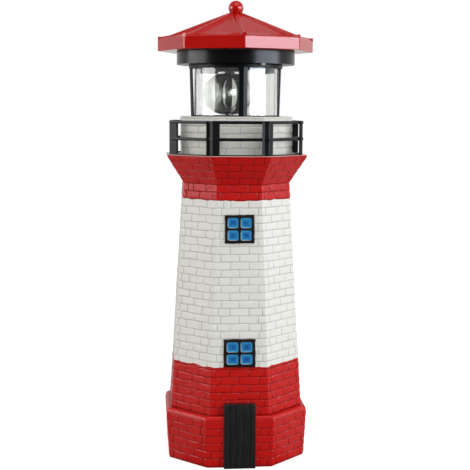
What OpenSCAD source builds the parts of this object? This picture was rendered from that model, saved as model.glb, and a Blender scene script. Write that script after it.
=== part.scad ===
// Garden lighthouse ornament: a cast octagonal tower with a solar lamp head and a turning lens.
// Z is up, the origin is the middle of the foot on the ground, and the door faces -Y.
// A turn is measured about Z from the door side towards +X.

/* [Tower] */
// Height of the plinth that the door stands in
plinth_h = 41; // [37:1:45]
// Corner radius of the plinth at its shoulder
plinth_r = 61.5; // [60:0.5:64]
// Corner radius of the plinth where it meets the ground
foot_r = 59.5; // [58:0.5:61]
// Rounding of the foot's lower edge
foot_round = 1.5; // [0.5:0.5:3]
// Height of the rounded shoulder on the plinth
shoulder_h = 3.6; // [2:0.2:6]
// How far the shoulder draws in towards the ledge
shoulder_in = 2.2; // [1:0.2:3]
// Half the angle that the front face of the plinth covers
plinth_face_angle = 25.3; // [22.5:0.1:26]
// Height of the tapering shaft, from the plinth to the neck
shaft_h = 177.3; // [165:1:190]
// Corner radius of the shaft at its foot
shaft_foot_r = 56.5; // [55:0.5:58]
// Half the angle that the front face of the shaft's foot covers
shaft_face_angle = 23.8; // [22.5:0.1:25]
// Corner radius of the shaft at its neck
neck_r = 45; // [43:0.5:47]
// Height of the flare below the gallery
flare_h = 22; // [18:1:26]
// Corner radius of the gallery's ledge
ledge_r = 59; // [58:0.5:61]
// Height of the lip that ends the flare
ledge_lip_h = 1.2; // [0.6:0.2:2]
// Height of the deck's wall above the ledge
deck_wall_h = 29.5; // [27:0.5:32]
// Corner radius of the deck's wall
deck_wall_r = 46.8; // [45.5:0.1:48]
// Thickness of the cast wall
cast_wall = 6; // [4:0.5:7]
// Thickness of the deck under the lantern
deck_t = 7; // [6.5:0.5:9]

/* [Brick courses] */
// Courses of bricks up the plinth
plinth_courses = 6; // [5:1:8]
// Courses of bricks up the shaft
shaft_courses = 30; // [26:1:34]
// Courses of bricks up the flare
flare_courses = 4; // [3:1:6]
// Courses of bricks up the deck's wall
deck_courses = 5; // [4:1:7]
// Height of the plain lip above the bricks of the deck's wall
deck_lip_h = 1.6; // [1:0.1:3]
// Depth of the level joints between courses
joint_depth = 0.5; // [0.3:0.05:0.8]
// Width of a level joint at the face of the bricks
joint_w = 0.9; // [0.6:0.1:1.4]

/* [Door and windows] */
// Width of the door
door_w = 24.4; // [20:0.2:28]
// Height of the door
door_h = 50.6; // [44:0.2:56]
// How far the door stands proud of the plinth
door_proud = 0.8; // [0.4:0.1:2]
// How deep the door slab reaches back from its face
door_depth = 8; // [7:0.5:10]
// Width of the upper window
upper_window_w = 22.4; // [18:0.2:26]
// Height of the upper window
upper_window_h = 21.4; // [18:0.2:24]
// Height of the upper window's middle above the plinth
upper_window_up = 143.5; // [130:0.5:155]
// Width of the lower window
lower_window_w = 24; // [18:0.2:26]
// Height of the lower window
lower_window_h = 21.4; // [18:0.2:24]
// Height of the lower window's middle above the plinth
lower_window_up = 48.2; // [40:0.2:60]
// Width of a window's frame
window_frame_w = 1.9; // [1.2:0.1:3]
// Width of a window's glazing bars
window_bar_w = 1.5; // [1:0.1:2.4]
// How far a window frame stands proud of the wall
window_proud = 1.2; // [0.6:0.1:2]
// Depth of the panes behind the front of the frame
pane_depth = 0.7; // [0.4:0.1:1.1]

/* [Gallery railing] */
// Corner radius of the railing
rail_r = 55.2; // [54:0.1:56.5]
// Height of the railing's posts
rail_h = 26; // [22:0.5:30]
// Thickness of the railing's posts
rail_post_t = 2; // [1.6:0.1:2.6]
// Width of a corner post's leaf on each face
rail_leaf_w = 5.2; // [3:0.1:7]
// Height of the curb along the railing's foot
rail_curb_h = 0.9; // [0.6:0.1:2]
// Height of a rail
rail_bar_h = 2.4; // [1.6:0.1:3]
// How far a rail stands out from the posts on each side
rail_bar_proud = 0.4; // [0.2:0.1:0.8]
// Height of the middle rail's centre above the ledge
rail_mid_up = 12.4; // [10:0.1:14]
// Radius of the pegs that hold the railing
peg_r = 0.9; // [0.6:0.1:1]
// Length of the pegs
peg_l = 4; // [3:0.5:5]

/* [Lantern] */
// Height of the lantern, from the deck to the lamp head
lantern_h = 40.2; // [38:0.2:46]
// Radius of the cage's floor and top ring
cage_r = 37; // [36.6:0.1:38]
// Thickness of the cage's floor
cage_floor_t = 2.5; // [2:0.1:3.5]
// Height of the cage's top ring
cage_ring_h = 2.8; // [2:0.1:4]
// Width of a cage post
cage_post_w = 6.9; // [5:0.1:8]
// Radius of a post's ridge at the floor
cage_ridge_foot_r = 35.6; // [35.2:0.1:36.4]
// Radius of a post's ridge at the top ring
cage_ridge_top_r = 36.8; // [36:0.1:37]
// Depth of a post's ridge in front of its flanks
cage_ridge_in = 1.3; // [0.8:0.1:1.6]
// Turn of the cage as it stands
cage_turn = 4.7; // [-20:0.1:20]
// Outer radius of the clear glazing tube
glaze_r = 33.1; // [32.6:0.1:33.4]
// Wall of the glazing tube
glaze_wall = 1.4; // [1:0.1:1.6]
// Thickness of the rubber rings at the glazing's ends
glaze_seal_t = 0.8; // [0.5:0.1:1.2]
// Radius of the circle that the cage's screws stand on
cage_screw_ring_r = 27.5; // [26.5:0.1:28]

/* [Lens rotor] */
// Distance of the rotor's axis from the lantern's, to the left
rotor_left = 4.3; // [3:0.1:5]
// Turn of the front lens as it stands
lens_turn = -60.8; // [-180:0.1:180]
// Height of the lens's middle above the deck
lens_up = 17.6; // [17.2:0.1:18.4]
// Outer radius of the lens domes
lens_r = 16; // [15:0.1:16.2]
// Wall of the lens domes
lens_wall = 1.2; // [0.8:0.1:1.6]
// Distance of the front dome's centre from the rotor's axis
lens_front_out = 6.6; // [5:0.1:7]
// Distance of the rear dome's centre from the rotor's axis
lens_rear_out = 2.2; // [2:0.1:5]
// Thickness of the flange round a dome's mouth
lens_flange_t = 1.2; // [0.8:0.1:1.8]
// Width of the carrier plate
carrier_w = 36.8; // [34:0.2:38]
// Height of the carrier plate
carrier_h = 30.5; // [30:0.1:30.8]
// Thickness of the carrier plate
carrier_t = 4; // [3.4:0.1:4.2]
// Radius of the hole through the carrier
carrier_hole_r = 14; // [12.5:0.1:14.2]
// Outer radius of the carrier's hollow hub
hub_r = 3.2; // [3:0.1:3.4]
// Radius of the hub's bore
hub_bore_r = 2.2; // [2.1:0.05:2.4]
// Width of the carrier's tongue under the hub
tongue_w = 8; // [7:0.2:10]
// Radius of the lower pivot pin
pin_r = 1; // [0.8:0.05:1.2]
// Radius of the pin's head
pin_head_r = 1.5; // [1.3:0.1:1.6]
// Height of the pin's head
pin_head_h = 0.7; // [0.5:0.1:1]
// Outer radius of the lower bush
bush_r = 2.2; // [2:0.1:2.6]
// Height of the bush's boss above the floor
bush_boss_h = 1.1; // [0.8:0.05:1.2]
// Wall of the boss round the bush
bush_boss_wall = 1; // [0.8:0.1:1.4]

/* [Lens gearing] */
// Gear module of the lens drive
gear_module = 0.7; // [0.65:0.01:0.72]
// Teeth on the lens gear
gear_teeth = 28; // [26:2:28]
// Teeth on the motor's pinion
pinion_teeth = 10; // [8:2:10]
// Height of the lens gear
gear_h = 3; // [2.4:0.1:3.4]
// Pressure angle of the teeth
pressure_angle = 25; // [22:1:27]
// Play between the teeth, measured along the pitch circle
gear_play = 0.28; // [0.2:0.01:0.36]

/* [Lamp head] */
// Outer radius of the drum
drum_r = 46.5; // [46:0.1:47]
// Height of the drum below its gasket
drum_h = 9.7; // [9:0.1:12]
// Wall of the drum
drum_wall = 2; // [1.6:0.1:2.2]
// Thickness of the drum's floor
drum_floor_t = 2; // [1.8:0.1:2.4]
// Thickness of the gasket on the drum
gasket_t = 0.6; // [0.4:0.1:1.2]
// Depth of the locating lugs that reach into the glazing
lug_h = 6.2; // [4:0.1:6.4]
// Thickness of the lugs
lug_t = 2.6; // [2:0.1:3]
// Angle that a lug covers
lug_angle = 36; // [24:1:36]
// Turn of the front lug
lug_turn = -17; // [-20:1:-15]
// Number of locating lugs
lug_count = 3;
// Outer radius of the bearing boss round the rotor's hub
bearing_boss_r = 5.2; // [4.8:0.1:5.6]
// Depth of the bearing boss below the floor
bearing_boss_drop = 2.4; // [1.5:0.1:3]
// How far the bearing boss rises above the floor
bearing_boss_rise = 0.4; // [0.3:0.05:0.6]
// Distance of the housing screws in from the drum's outside
boss_inset = 5.3; // [5.1:0.1:5.5]
// Radius of the drum's screw bosses
boss_r = 3.6; // [3.4:0.1:3.8]
// Number of housing screws
boss_count = 4;
// Turn of the first housing screw
boss_turn = -22.5; // [-24:0.5:-21]

/* [Roof] */
// Corner radius of the roof
roof_r = 61.6; // [60.5:0.1:63]
// Turn of the roof's front corner as it stands
roof_turn = 1.3; // [-3:0.1:3]
// Height of the fascia round the eaves
fascia_h = 10.1; // [9.5:0.1:12]
// Corner radius where the roof bends towards the eaves
bend_r = 52; // [50:0.1:54]
// Rise from the fascia to the bend
bend_rise = 2; // [1.6:0.1:3]
// Rise from the bend to the crown
crown_rise = 17.2; // [16:0.1:19]
// Corner radius of the flat crown under the ball
crown_r = 5; // [4.4:0.1:6]
// Thickness of the roof shell
shell_t = 2.2; // [1.8:0.1:2.6]
// Wall of the fascia where the soffit plate is let in
lip_t = 1.4; // [1:0.1:1.8]
// Thickness of the soffit plate
soffit_t = 1.8; // [1.4:0.1:2.4]
// How far the soffit plate laps over the drum's rim
soffit_lap = 1.6; // [1.3:0.1:1.8]
// Width of the raised rib on a hip
rib_w = 2.4; // [1.6:0.1:3]
// Height of the rib above the hip
rib_h = 0.9; // [0.5:0.1:1.4]
// Extra height of the rib's tip at the eaves
rib_tip_h = 0.7; // [0.2:0.1:1.2]
// Length of the rib's raised tip
rib_tip_l = 3; // [2:0.5:5]
// Border between a hip and its recessed panel
panel_border = 3.6; // [3:0.1:5]
// Distance of a panel's upper end from the roof's axis
panel_top_a = 12; // [11:0.5:14]
// Distance of a panel's lower edge from the roof's axis
panel_foot_a = 46; // [42:0.5:47]
// Depth of the recessed panels
panel_depth = 0.9; // [0.6:0.1:1.1]
// Radius of the ball on the roof
ball_r = 5.9; // [5:0.1:6.5]
// Height of the ball's centre above the crown
ball_up = 4.5; // [4:0.1:5]
// Radius of the ball's neck
ball_neck_r = 3.7; // [3:0.1:4.2]
// Radius of the ball's spigot
spigot_r = 2.2; // [1.6:0.1:2.4]
// Length of the ball's spigot
spigot_l = 7; // [5:0.5:9]
// Thickness of a solar cell
cell_t = 1; // [0.6:0.1:1.2]
// Number of roof panels that hold a solar cell, counted from the back
solar_count = 4;

/* [Battery] */
// Radius of the rechargeable cell
battery_r = 7.25; // [5.25:0.05:7.3]
// Length of the cell with its button
battery_l = 50.5; // [44.5:0.1:50.6]
// Radius of the cell's button
button_r = 2.75; // [1.9:0.05:2.9]
// Height of the cell's button
button_h = 1; // [0.8:0.1:1.4]
// Distance of the cell's axis from the drum's axis
battery_right = 16.5; // [16.3:0.1:16.9]
// Inner length of the battery compartment
bay_l = 54; // [53.6:0.1:54.4]
// Wall of the battery compartment
bay_wall = 1.2; // [1:0.1:1.4]
// Thickness of the battery cover
cover_t = 1.6; // [1.4:0.1:1.7]
// Thickness of a contact plate
contact_t = 0.4; // [0.3:0.05:0.5]
// Width of a contact plate
contact_w = 9; // [7:0.5:11]
// Height of a contact plate
contact_h = 12; // [10:0.5:13]
// Width of a contact's solder tab
tab_w = 4; // [3:0.5:5]
// Height of a solder tab above the compartment
tab_h = 1.6; // [1:0.1:2.2]
// Wire radius of the contact spring
spring_wire_r = 0.3; // [0.25:0.01:0.32]
// Coils of the contact spring
spring_coils = 2.5; // [2:0.5:2.5]

/* [Drive and electrics] */
// Width of the gear motor
motor_w = 12; // [10:0.5:12]
// Depth of the gear motor
motor_d = 10; // [9:0.5:10]
// Height of the motor's gearbox
gearbox_h = 9; // [7:0.5:9.5]
// Height of the motor's can
can_h = 11.5; // [10:0.5:12]
// Radius of the motor's shaft
shaft_r = 1.5; // [1.2:0.1:1.6]
// Length of the shaft inside the gearbox
shaft_in = 4; // [3:0.5:5]
// Thickness of the motor bracket
bracket_t = 1.2; // [1:0.1:1.4]
// Width of the motor bracket
bracket_w = 21; // [20:0.5:22]
// Thickness of the circuit board
board_t = 1.6; // [1.2:0.1:2]
// Width of the circuit board
board_w = 36; // [35:0.5:37]
// Depth of the circuit board
board_d = 25; // [24:0.5:25.5]
// Height of the posts under the circuit board
board_up = 6; // [5.6:0.1:6.6]
// Outer radius of the tube that carries the lamp diode
led_tube_r = 1.8; // [1.6:0.05:1.8]
// Wall of the diode's tube
led_tube_wall = 0.5; // [0.4:0.05:0.6]
// Radius of the lamp diode
led_r = 1.5; // [1.3:0.1:1.6]
// Height of the lamp diode
led_h = 4.6; // [4:0.1:5.4]
// Height of the diode's collar
led_collar_h = 0.8; // [0.6:0.1:1]
// Distance of the diode's tip below the lens's middle
led_down = 2.4; // [1:0.1:4]
// Radius of an insulated lead
lead_r = 0.6; // [0.5:0.05:0.7]

/* [Switch] */
// Turn of the switch round the drum
switch_turn = 27.5; // [24:0.5:32]
// Distance of the switch in from the drum's outside
switch_inset = 5.5; // [5.3:0.1:5.9]
// Width of the switch body
switch_w = 9; // [8:0.2:9.4]
// Depth of the switch body
switch_d = 4; // [3.6:0.1:4.2]
// Height of the switch body
switch_h = 4.5; // [4:0.1:5]
// Width of the switch knob
knob_w = 2.6; // [2:0.1:3]
// Depth of the switch knob
knob_d = 1.8; // [1.4:0.1:2]
// How far the knob shows below the drum
knob_drop = 1.1; // [0.8:0.1:1.6]
// Travel of the switch knob
knob_travel = 2.4; // [1.8:0.1:2.6]
// How far the knob reaches into the switch
knob_in = 1.2; // [0.8:0.1:1.6]

/* [Fasteners] */
// Thread radius of the housing and cage screws
screw_r = 1.5; // [1.3:0.05:1.5]
// Head radius of the housing and cage screws
screw_head_r = 2.6; // [2.4:0.1:2.7]
// Head height of the housing and cage screws
screw_head_h = 1.4; // [1.2:0.1:1.6]
// Length of the housing screws
housing_screw_l = 15; // [12:0.5:17]
// Length of the cage screws
cage_screw_l = 7; // [6:0.5:8]
// Number of cage screws
cage_screw_count = 3;
// Thread radius of the small screws
small_screw_r = 1; // [0.8:0.05:1]
// Head radius of the small screws
small_head_r = 1.8; // [1.6:0.1:1.9]
// Head height of the small screws
small_head_h = 1.2; // [1:0.1:1.4]
// Length of the small screws
small_screw_l = 4.6; // [4:0.1:5]

/* [Fits] */
// Running clearance between a shaft and its bore
running_gap = 0.06; // [0.03:0.01:0.09]
// Clearance between pieces pressed or screwed together
press_gap = 0.03; // [0.02:0.01:0.05]
// Clearance of a screw in a plain hole
screw_gap = 0.25; // [0.15:0.05:0.35]
// Clearance between parts that seat in each other
seat_gap = 0.3; // [0.2:0.05:0.4]
// Clearance between parts that turn past each other
turn_gap = 0.3; // [0.2:0.05:0.5]

/* [Hidden] */

cast_white = [0.86, 0.86, 0.83];
roof_red = [0.62, 0.05, 0.03];
moulded_black = [0.06, 0.07, 0.07];
clear_plastic = [0.85, 0.9, 0.9, 0.4];
steel_grey = [0.7, 0.7, 0.72];
nylon_white = [0.88, 0.87, 0.82];

smooth = 64;
fine = 32;
side_count = 8;
side_angle = 360 / side_count;
half_side = side_angle / 2;
over = 1;
seam = 0.01;

boss_ring_r = drum_r - boss_inset;
soffit_hole_r = drum_r - soffit_lap;
switch_ring_r = drum_r - switch_inset;

// Levels of the whole, from the ground up
z_neck = plinth_h + shaft_h;
z_ledge = z_neck + flare_h;
z_deck = z_ledge + deck_wall_h;
z_cage_floor = z_deck - cage_floor_t;
z_head = z_deck + lantern_h;
z_drum_floor = z_head + drum_floor_t;
z_drum_top = z_head + drum_h;
z_eave = z_drum_top + gasket_t;
z_soffit_top = z_eave + soffit_t;
z_fascia_top = z_eave + fascia_h;
z_bend = z_fascia_top + bend_rise;
z_crown = z_bend + crown_rise;
z_lens = z_deck + lens_up;

// A stack of point rings, each with as many points and in the same order, closed into one solid
module loft(rings) {
    n = len(rings[0]);
    last_ring = (len(rings) - 1) * n;
    sides = [
        for (level = [0 : len(rings) - 2], i = [0 : n - 1], half = [0, 1])
            let (a = level * n + i, b = level * n + (i + 1) % n)
                half == 0 ? [a, a + n, b + n] : [a, b + n, b]
    ];
    polyhedron(
        points = [for (ring = rings, p = ring) p],
        faces = concat([[for (i = [0 : n - 1]) i]], sides, [[for (i = [n - 1 : -1 : 0]) last_ring + i]])
    );
}

// A ring of the tower's octagon, whose front, back and side faces cover twice face_angle each
function tower_ring(z, r, face_angle) = [
    for (quarter = [0 : 3], corner = [-face_angle, face_angle])
        let (turn = quarter * 2 * side_angle + corner)
            [r * sin(turn), -r * cos(turn), z]
];

// A ring of the roof's octagon, with a corner in front
function roof_ring(z, r) = [
    for (k = [0 : side_count - 1])
        [r * cos(k * side_angle), r * sin(k * side_angle), z]
];

module at_turn(turn, radius) {
    rotate([0, 0, turn])
        translate([0, -radius, 0])
            children();
}

module octagon_bar(r, h) {
    rotate([0, 0, half_side])
        cylinder(h = h, r = r, $fn = side_count);
}

module octagon_ring(outer_r, wall, h) {
    difference() {
        octagon_bar(outer_r, h);
        translate([0, 0, -over])
            octagon_bar(outer_r - wall / cos(half_side), h + 2 * over);
    }
}

module round_ring(outer_r, inner_r, h) {
    difference() {
        cylinder(h = h, r = outer_r, $fn = smooth);
        translate([0, 0, -over])
            cylinder(h = h + 2 * over, r = inner_r, $fn = smooth);
    }
}

// A pan-head screw that hangs from its seat at the origin, with a crossed driving slot
module pan_screw(head_r, head_h, thread_r, length) {
    slot_w = head_r * 0.24;
    slot_l = head_r * 1.2;
    slot_d = head_h * 0.5;
    difference() {
        union() {
            cylinder(h = head_h, r = head_r, $fn = fine);
            translate([0, 0, -length])
                cylinder(h = length + seam, r = thread_r, $fn = fine);
        }
        for (turn = [0, 90])
            rotate([0, 0, turn])
                translate([-slot_l / 2, -slot_w / 2, head_h - slot_d])
                    cube([slot_l, slot_w, slot_d + over]);
    }
}

// ---- Tower ----

function shaft_share(z) = (z - plinth_h) / shaft_h;
function shaft_front(z) =
    shaft_foot_r * cos(shaft_face_angle)
    + shaft_share(z) * (neck_r * cos(half_side) - shaft_foot_r * cos(shaft_face_angle));

shaft_lean = atan((shaft_front(plinth_h) - shaft_front(z_neck)) / shaft_h);
door_front = plinth_r * cos(plinth_face_angle) + door_proud;
wall_in = cast_wall / cos(half_side);
peg_ring_r = rail_r - rail_post_t;

module window(w, h, z) {
    pane_w = (w - 2 * window_frame_w - window_bar_w) / 2;
    pane_h = (h - 2 * window_frame_w - window_bar_w) / 2;
    embed = 2;
    translate([0, -shaft_front(z), z])
        rotate([-shaft_lean, 0, 0])
            difference() {
                translate([-w / 2, -window_proud, -h / 2])
                    cube([w, window_proud + embed, h]);
                for (side = [-1, 1], level = [-1, 1])
                    translate([
                        side * (pane_w + window_bar_w) / 2 - pane_w / 2,
                        -window_proud - over,
                        level * (pane_h + window_bar_w) / 2 - pane_h / 2
                    ])
                        cube([pane_w, over + pane_depth, pane_h]);
            }
}

// A ring at a share of the way from ring a to ring b, set in by a depth
function ring_between(a, b, share, depth) = [
    for (i = [0 : len(a) - 1])
        let (
            p = a[i] + share * (b[i] - a[i]),
            inward = 1 - depth / (norm([p[0], p[1]]) * cos(half_side))
        )
            [p[0] * inward, p[1] * inward, p[2]]
];

// The rings of a wall from ring a up to ring b, with a level joint between each two of its courses
function brick_wall(a, b, courses) =
    let (half_joint = joint_w / 2 / (b[0][2] - a[0][2]))
        concat(
            [a],
            [
                for (line = [1 : courses - 1], edge = [-1 : 1])
                    ring_between(a, b, line / courses + edge * half_joint, edge == 0 ? joint_depth : 0)
            ],
            [b]
        );

module tower_outside() {
    neck = tower_ring(z_neck, neck_r, half_side);
    loft(concat(
        [tower_ring(0, foot_r - foot_round, plinth_face_angle)],
        brick_wall(
            tower_ring(foot_round, foot_r, plinth_face_angle),
            tower_ring(plinth_h - shoulder_h, plinth_r, plinth_face_angle),
            plinth_courses
        ),
        [
            tower_ring(plinth_h - shoulder_h / 3, plinth_r - shoulder_in / 3, plinth_face_angle),
            tower_ring(plinth_h, plinth_r - shoulder_in, plinth_face_angle)
        ],
        brick_wall(tower_ring(plinth_h, shaft_foot_r, shaft_face_angle), neck, shaft_courses),
        [ring_between(neck, neck, 0, joint_depth)],
        brick_wall(
            ring_between(neck, tower_ring(z_ledge - ledge_lip_h, ledge_r, half_side), joint_w / 2 / flare_h, 0),
            tower_ring(z_ledge - ledge_lip_h, ledge_r, half_side),
            flare_courses
        ),
        [tower_ring(z_ledge, ledge_r, half_side)],
        brick_wall(
            tower_ring(z_ledge, deck_wall_r, half_side),
            tower_ring(z_deck - deck_lip_h, deck_wall_r, half_side),
            deck_courses
        ),
        [tower_ring(z_deck, deck_wall_r, half_side)]
    ));
}

module tower_hollow() {
    loft([
        tower_ring(-over, foot_r - wall_in, plinth_face_angle),
        tower_ring(plinth_h, shaft_foot_r - wall_in, shaft_face_angle),
        tower_ring(z_neck, neck_r - wall_in, half_side),
        tower_ring(z_cage_floor - deck_t, neck_r - wall_in, half_side)
    ]);
}

module tower_casting() {
    color(cast_white)
        difference() {
            union() {
                tower_outside();
                translate([-door_w / 2, -door_front, 0])
                    cube([door_w, door_depth, door_h]);
                window(upper_window_w, upper_window_h, plinth_h + upper_window_up);
                window(lower_window_w, lower_window_h, plinth_h + lower_window_up);
            }
            tower_hollow();
            translate([0, 0, z_cage_floor])
                cylinder(h = cage_floor_t + over, r = cage_r + seat_gap, $fn = smooth);
            for (k = [0 : side_count - 1])
                at_turn(half_side + k * side_angle, peg_ring_r)
                    translate([0, 0, z_ledge - peg_l - seat_gap])
                        cylinder(h = peg_l + seat_gap + over, r = peg_r + press_gap, $fn = fine);
            cage_screw_places()
                translate([0, 0, z_deck - cage_screw_l - seat_gap])
                    cylinder(h = cage_screw_l, r = screw_r + press_gap, $fn = fine);
        }
}

// ---- Gallery railing ----

rail_side = 2 * rail_r * sin(half_side);
rail_face = rail_r * cos(half_side);

module rail_bay(low, high) {
    bay_w = rail_side - 2 * rail_leaf_w;
    for (k = [0 : side_count - 1])
        at_turn(k * side_angle, rail_face)
            translate([-bay_w / 2, -over, low])
                cube([bay_w, rail_post_t + 2 * over, high - low]);
}

module rail_bar(z) {
    translate([0, 0, z])
        octagon_ring(
            rail_r + rail_bar_proud / cos(half_side),
            rail_post_t + 2 * rail_bar_proud,
            rail_bar_h
        );
}

module gallery_railing() {
    color(moulded_black)
        union() {
            difference() {
                translate([0, 0, z_ledge])
                    octagon_ring(rail_r, rail_post_t, rail_h);
                rail_bay(z_ledge + rail_curb_h, z_ledge + rail_h - rail_bar_h / 2);
            }
            rail_bar(z_ledge + rail_mid_up - rail_bar_h / 2);
            rail_bar(z_ledge + rail_h - rail_bar_h + rail_bar_proud);
            for (k = [0 : side_count - 1])
                at_turn(half_side + k * side_angle, peg_ring_r)
                    translate([0, 0, z_ledge - peg_l])
                        cylinder(h = peg_l + rail_curb_h, r = peg_r, $fn = fine);
        }
}

// ---- Lantern ----

cage_post_back = glaze_r + seat_gap;
rotor_at = [-rotor_left, 0, 0];
boss_top_z = z_deck + bush_boss_h;

module cage_screw_places() {
    for (k = [0 : cage_screw_count - 1])
        at_turn(cage_turn + half_side + k * 360 / cage_screw_count, cage_screw_ring_r)
            children();
}

// One post's section at a height: flat at the back, with a ridge in front
function post_ring(z, ridge_r) = [
    [-cage_post_w / 2, -cage_post_back, z],
    [-cage_post_w / 2, -ridge_r + cage_ridge_in, z],
    [0, -ridge_r, z],
    [cage_post_w / 2, -ridge_r + cage_ridge_in, z],
    [cage_post_w / 2, -cage_post_back, z]
];

module lantern_cage() {
    color(moulded_black)
        difference() {
            union() {
                translate([0, 0, z_cage_floor])
                    cylinder(h = cage_floor_t, r = cage_r, $fn = smooth);
                translate([0, 0, z_head - cage_ring_h])
                    round_ring(cage_r, cage_post_back, cage_ring_h);
                for (k = [0 : 3])
                    rotate([0, 0, cage_turn + k * 90])
                        loft([
                            post_ring(z_deck - cage_floor_t / 2, cage_ridge_foot_r),
                            post_ring(z_head - cage_ring_h / 2, cage_ridge_top_r)
                        ]);
                translate(rotor_at + [0, 0, z_cage_floor])
                    cylinder(h = boss_top_z - z_cage_floor, r = bush_r + bush_boss_wall, $fn = fine);
            }
            translate(rotor_at + [0, 0, z_cage_floor - over])
                cylinder(h = cage_floor_t + bush_boss_h + 2 * over, r = bush_r + press_gap, $fn = fine);
            cage_screw_places()
                translate([0, 0, z_cage_floor - over])
                    cylinder(h = cage_floor_t + 2 * over, r = screw_r + screw_gap, $fn = fine);
        }
}

glaze_foot_z = z_deck + glaze_seal_t;
glaze_top_z = z_head - turn_gap - glaze_seal_t;

module lantern_glazing() {
    color(clear_plastic)
        translate([0, 0, glaze_foot_z])
            round_ring(glaze_r, glaze_r - glaze_wall, glaze_top_z - glaze_foot_z);
}

module glazing_foot_seal() {
    color("dimgray")
        translate([0, 0, z_deck])
            round_ring(glaze_r, glaze_r - glaze_wall, glaze_seal_t);
}

module glazing_top_seal() {
    color("dimgray")
        translate([0, 0, glaze_top_z])
            round_ring(glaze_r, glaze_r - glaze_wall, glaze_seal_t);
}

module cage_screws() {
    color(steel_grey)
        cage_screw_places()
            translate([0, 0, z_deck])
                pan_screw(screw_head_r, screw_head_h, screw_r, cage_screw_l);
}

module pivot_bush() {
    color("goldenrod")
        translate(rotor_at + [0, 0, z_cage_floor])
            difference() {
                cylinder(h = boss_top_z - z_cage_floor, r = bush_r, $fn = fine);
                translate([0, 0, -over])
                    cylinder(h = cage_floor_t + bush_boss_h + 2 * over, r = pin_r + running_gap, $fn = fine);
            }
}

// ---- Lens rotor ----

carrier_foot_z = z_lens - carrier_h / 2;
carrier_top_z = z_lens + carrier_h / 2;
hub_foot_z = z_lens + lens_r + seat_gap;
gear_z = z_drum_floor + bearing_boss_rise + turn_gap;
hub_top_z = gear_z + gear_h + seat_gap;
pin_seat_z = z_lens - carrier_hole_r - pin_head_h / 2;

module rotor_place() {
    translate(rotor_at)
        rotate([0, 0, lens_turn])
            children();
}

module lens_carrier() {
    color(moulded_black)
        rotor_place()
            difference() {
                union() {
                    translate([-carrier_w / 2, -carrier_t / 2, carrier_foot_z])
                        cube([carrier_w, carrier_t, carrier_h]);
                    translate([-tongue_w / 2, -carrier_t / 2, carrier_top_z - seam])
                        cube([tongue_w, carrier_t, hub_foot_z - carrier_top_z + seam]);
                    translate([0, 0, hub_foot_z - seam])
                        cylinder(h = hub_top_z - hub_foot_z + seam, r = hub_r, $fn = fine);
                }
                translate([0, 0, z_lens])
                    rotate([90, 0, 0])
                        cylinder(h = carrier_t + 2 * over, r = carrier_hole_r, center = true, $fn = smooth);
                translate([0, 0, z_lens])
                    cylinder(h = hub_top_z - z_lens + over, r = hub_bore_r, $fn = fine);
                translate([0, 0, carrier_foot_z - over])
                    cylinder(h = carrier_h / 2, r = pin_r + press_gap, $fn = fine);
                translate([0, 0, pin_seat_z])
                    cylinder(h = carrier_h / 2, r = pin_head_r + press_gap, $fn = fine);
            }
}

// A clear dome on a flange, turned about its own pole. It looks along -Y from the carrier's face.
module lens_dome(centre_out) {
    rim_out = carrier_t / 2;
    flange_r = lens_r - lens_wall / 4;
    rotate([90, 0, 0])
        rotate_extrude($fn = smooth)
            intersection() {
                union() {
                    difference() {
                        translate([0, centre_out])
                            circle(r = lens_r, $fn = smooth);
                        translate([0, centre_out])
                            circle(r = lens_r - lens_wall, $fn = smooth);
                    }
                    translate([carrier_hole_r, rim_out])
                        square([flange_r - carrier_hole_r, lens_flange_t]);
                }
                translate([0, rim_out])
                    square([lens_r + over, 2 * lens_r + over]);
            }
}

module lens_front() {
    color(clear_plastic)
        rotor_place()
            translate([0, 0, z_lens])
                lens_dome(lens_front_out);
}

module lens_rear() {
    color(clear_plastic)
        rotor_place()
            translate([0, 0, z_lens])
                rotate([0, 0, 180])
                    lens_dome(lens_rear_out);
}

module pivot_pin() {
    reach = pin_seat_z - z_cage_floor - seat_gap;
    color(steel_grey)
        translate(rotor_at + [0, 0, pin_seat_z])
            union() {
                cylinder(h = pin_head_h, r = pin_head_r, $fn = fine);
                translate([0, 0, -reach])
                    cylinder(h = reach + seam, r = pin_r, $fn = fine);
            }
}

// Involute teeth. The angle of a flank at radius r, from the middle of its tooth.
function involute(angle) = tan(angle) * 180 / PI - angle;
function flank_angle(r, pitch_r, tooth_w) =
    let (base_r = pitch_r * cos(pressure_angle))
        tooth_w / 2 / pitch_r * 180 / PI + involute(pressure_angle)
        - (r > base_r ? involute(acos(base_r / r)) : 0);

addendum = 0.8;
dedendum = 1.15;
flank_steps = 4;

function gear_outline(teeth) =
    let (
        pitch_r = gear_module * teeth / 2,
        tip_r = pitch_r + addendum * gear_module,
        root_r = pitch_r - dedendum * gear_module,
        tooth_w = PI * gear_module / 2 - gear_play
    )
    [
        for (tooth = [0 : teeth - 1], side = [-1, 1], step = [0 : flank_steps])
            let (
                share = side < 0 ? step / flank_steps : 1 - step / flank_steps,
                r = root_r + share * (tip_r - root_r),
                angle = tooth * 360 / teeth + side * flank_angle(r, pitch_r, tooth_w)
            )
            [r * cos(angle), r * sin(angle)]
    ];

pinion_away = gear_module * (gear_teeth + pinion_teeth) / 2;
pinion_at = rotor_at + [0, pinion_away, 0];

module lens_gear() {
    color(nylon_white)
        translate(rotor_at + [0, 0, gear_z])
            difference() {
                rotate([0, 0, 90])
                    linear_extrude(height = gear_h)
                        polygon(gear_outline(gear_teeth));
                translate([0, 0, -over])
                    cylinder(h = gear_h + 2 * over, r = hub_r + press_gap, $fn = fine);
            }
}

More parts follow.
